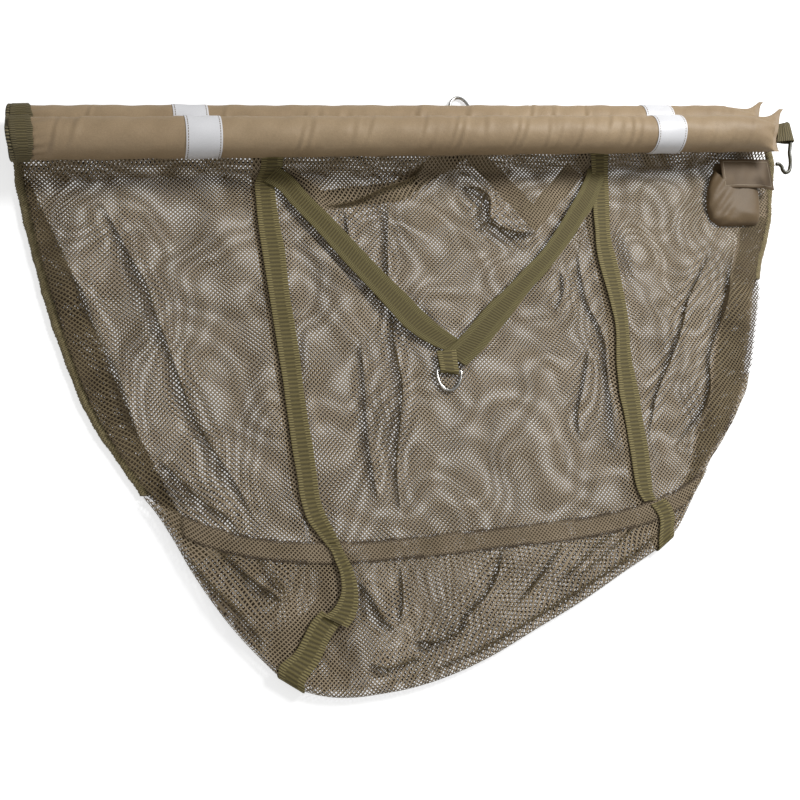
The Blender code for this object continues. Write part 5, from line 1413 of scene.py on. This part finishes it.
FLAP_WIDE, FLAP_LONG, FLAP_THICK, STITCH_INSET = 0.083, 0.045, 0.0008, 0.0042
# Closely woven nylon, stiffer and duller than the pouch's, with a paler line of stitches
flap_cloth, tree, shader = new_finish("stitched_nylon_flap", {
    "Roughness": 0.6, "Specular IOR Level": 0.3, "Sheen Weight": 0.1, "Sheen Tint": linear("#b59c78")})
uv = add_node(tree, "UVMap", {"uv_map": "cloth"}, {}).outputs[0]
parts = add_node(tree, "SeparateXYZ", {}, {0: uv})
edges = [add_node(tree, "Math", {"operation": "PINGPONG"}, {0: parts.outputs[k], 1: size / 2})
         for k, size in ((0, FLAP_WIDE), (1, FLAP_LONG))]
near = add_node(tree, "Math", {"operation": "MINIMUM"}, {0: edges[0].outputs[0], 1: edges[1].outputs[0]})
line = add_node(tree, "Math", {"operation": "COMPARE"}, {0: near.outputs[0], 1: STITCH_INSET, 2: 0.00045})
place = add_node(tree, "TexCoord", {}, {}).outputs["Object"]
cloud = add_node(tree, "TexNoise", {}, {"Vector": place, "Scale": 40.0, "Detail": 3.0})
tone = add_node(tree, "ValToRGB", {}, {"Fac": cloud.outputs[0]})
tone.color_ramp.elements[0].position, tone.color_ramp.elements[0].color = 0.3, linear("#604f3b")
tone.color_ramp.elements[1].position, tone.color_ramp.elements[1].color = 0.7, linear("#6e5c45")
face = add_node(tree, "Mix", {"data_type": "RGBA"},
                {0: line.outputs[0], 6: tone.outputs[0], 7: linear("#978871")})
tree.links.new(face.outputs[2], shader.inputs["Base Color"])
weave = add_node(tree, "TexNoise", {}, {"Vector": place, "Scale": 1400.0, "Detail": 2.0})
sunk = add_node(tree, "Bump", {"invert": True},
                {"Strength": 0.9, "Distance": 0.0005, "Height": line.outputs[0]})
fine = add_node(tree, "Bump", {}, {"Strength": 0.3, "Distance": 0.0002, "Height": weave.outputs[0],
                                   "Normal": sunk.outputs[0]})
tree.links.new(fine.outputs[0], shader.inputs["Normal"])


def hemmed(size, count):
    """Places across the flap from 0 to its size, closer at its rounded edges."""
    return np.concatenate([[0, 0.0006], np.linspace(0.002, size - 0.002, count), [size - 0.0006, size]])


def flap_points(along, down, side):
    """The flap's upper or lower face, hinged at its head and bowed, with its corners turned down."""
    across, drop = along / FLAP_WIDE, down / FLAP_LONG
    x = 0.4492 + along + 0.004 * drop * (across - 0.35)
    y = 0.2862 - 0.0022 * across - down - 0.0025 * across ** 4 * drop
    z = 0.0366 - down * math.tan(math.radians(4.5)) + 0.0011 * np.sin(math.pi * across)
    z = z - 0.0030 * drop ** 3 * ((across - 0.5) ** 2 * 4) + 0.0005 * np.sin(along * 180 + down * 90)
    edge = np.minimum(np.minimum(along, FLAP_WIDE - along), np.minimum(down, FLAP_LONG - down))
    thick = FLAP_THICK * np.sqrt(np.clip(edge / 0.0011, 0.02, 1)) * np.where(edge < 0.0045, 1.25, 1.0)
    return np.stack([x, y, z + side * thick], -1)


along, down = np.meshgrid(hemmed(FLAP_WIDE, 48), hemmed(FLAP_LONG, 28), indexing="ij")
rings = np.concatenate([flap_points(along, down, 1), flap_points(along, down, -1)[:, ::-1]], 1)
uv = np.stack([np.concatenate([along, along[:, ::-1]], 1), np.concatenate([down, down[:, ::-1]], 1)], -1)
flap = tube_mesh("pouch_flap_cloth", rings, True, uv)
flap.data.materials.append(flap_cloth)
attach(flap, "pouch_lid")
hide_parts("pouch_flap")
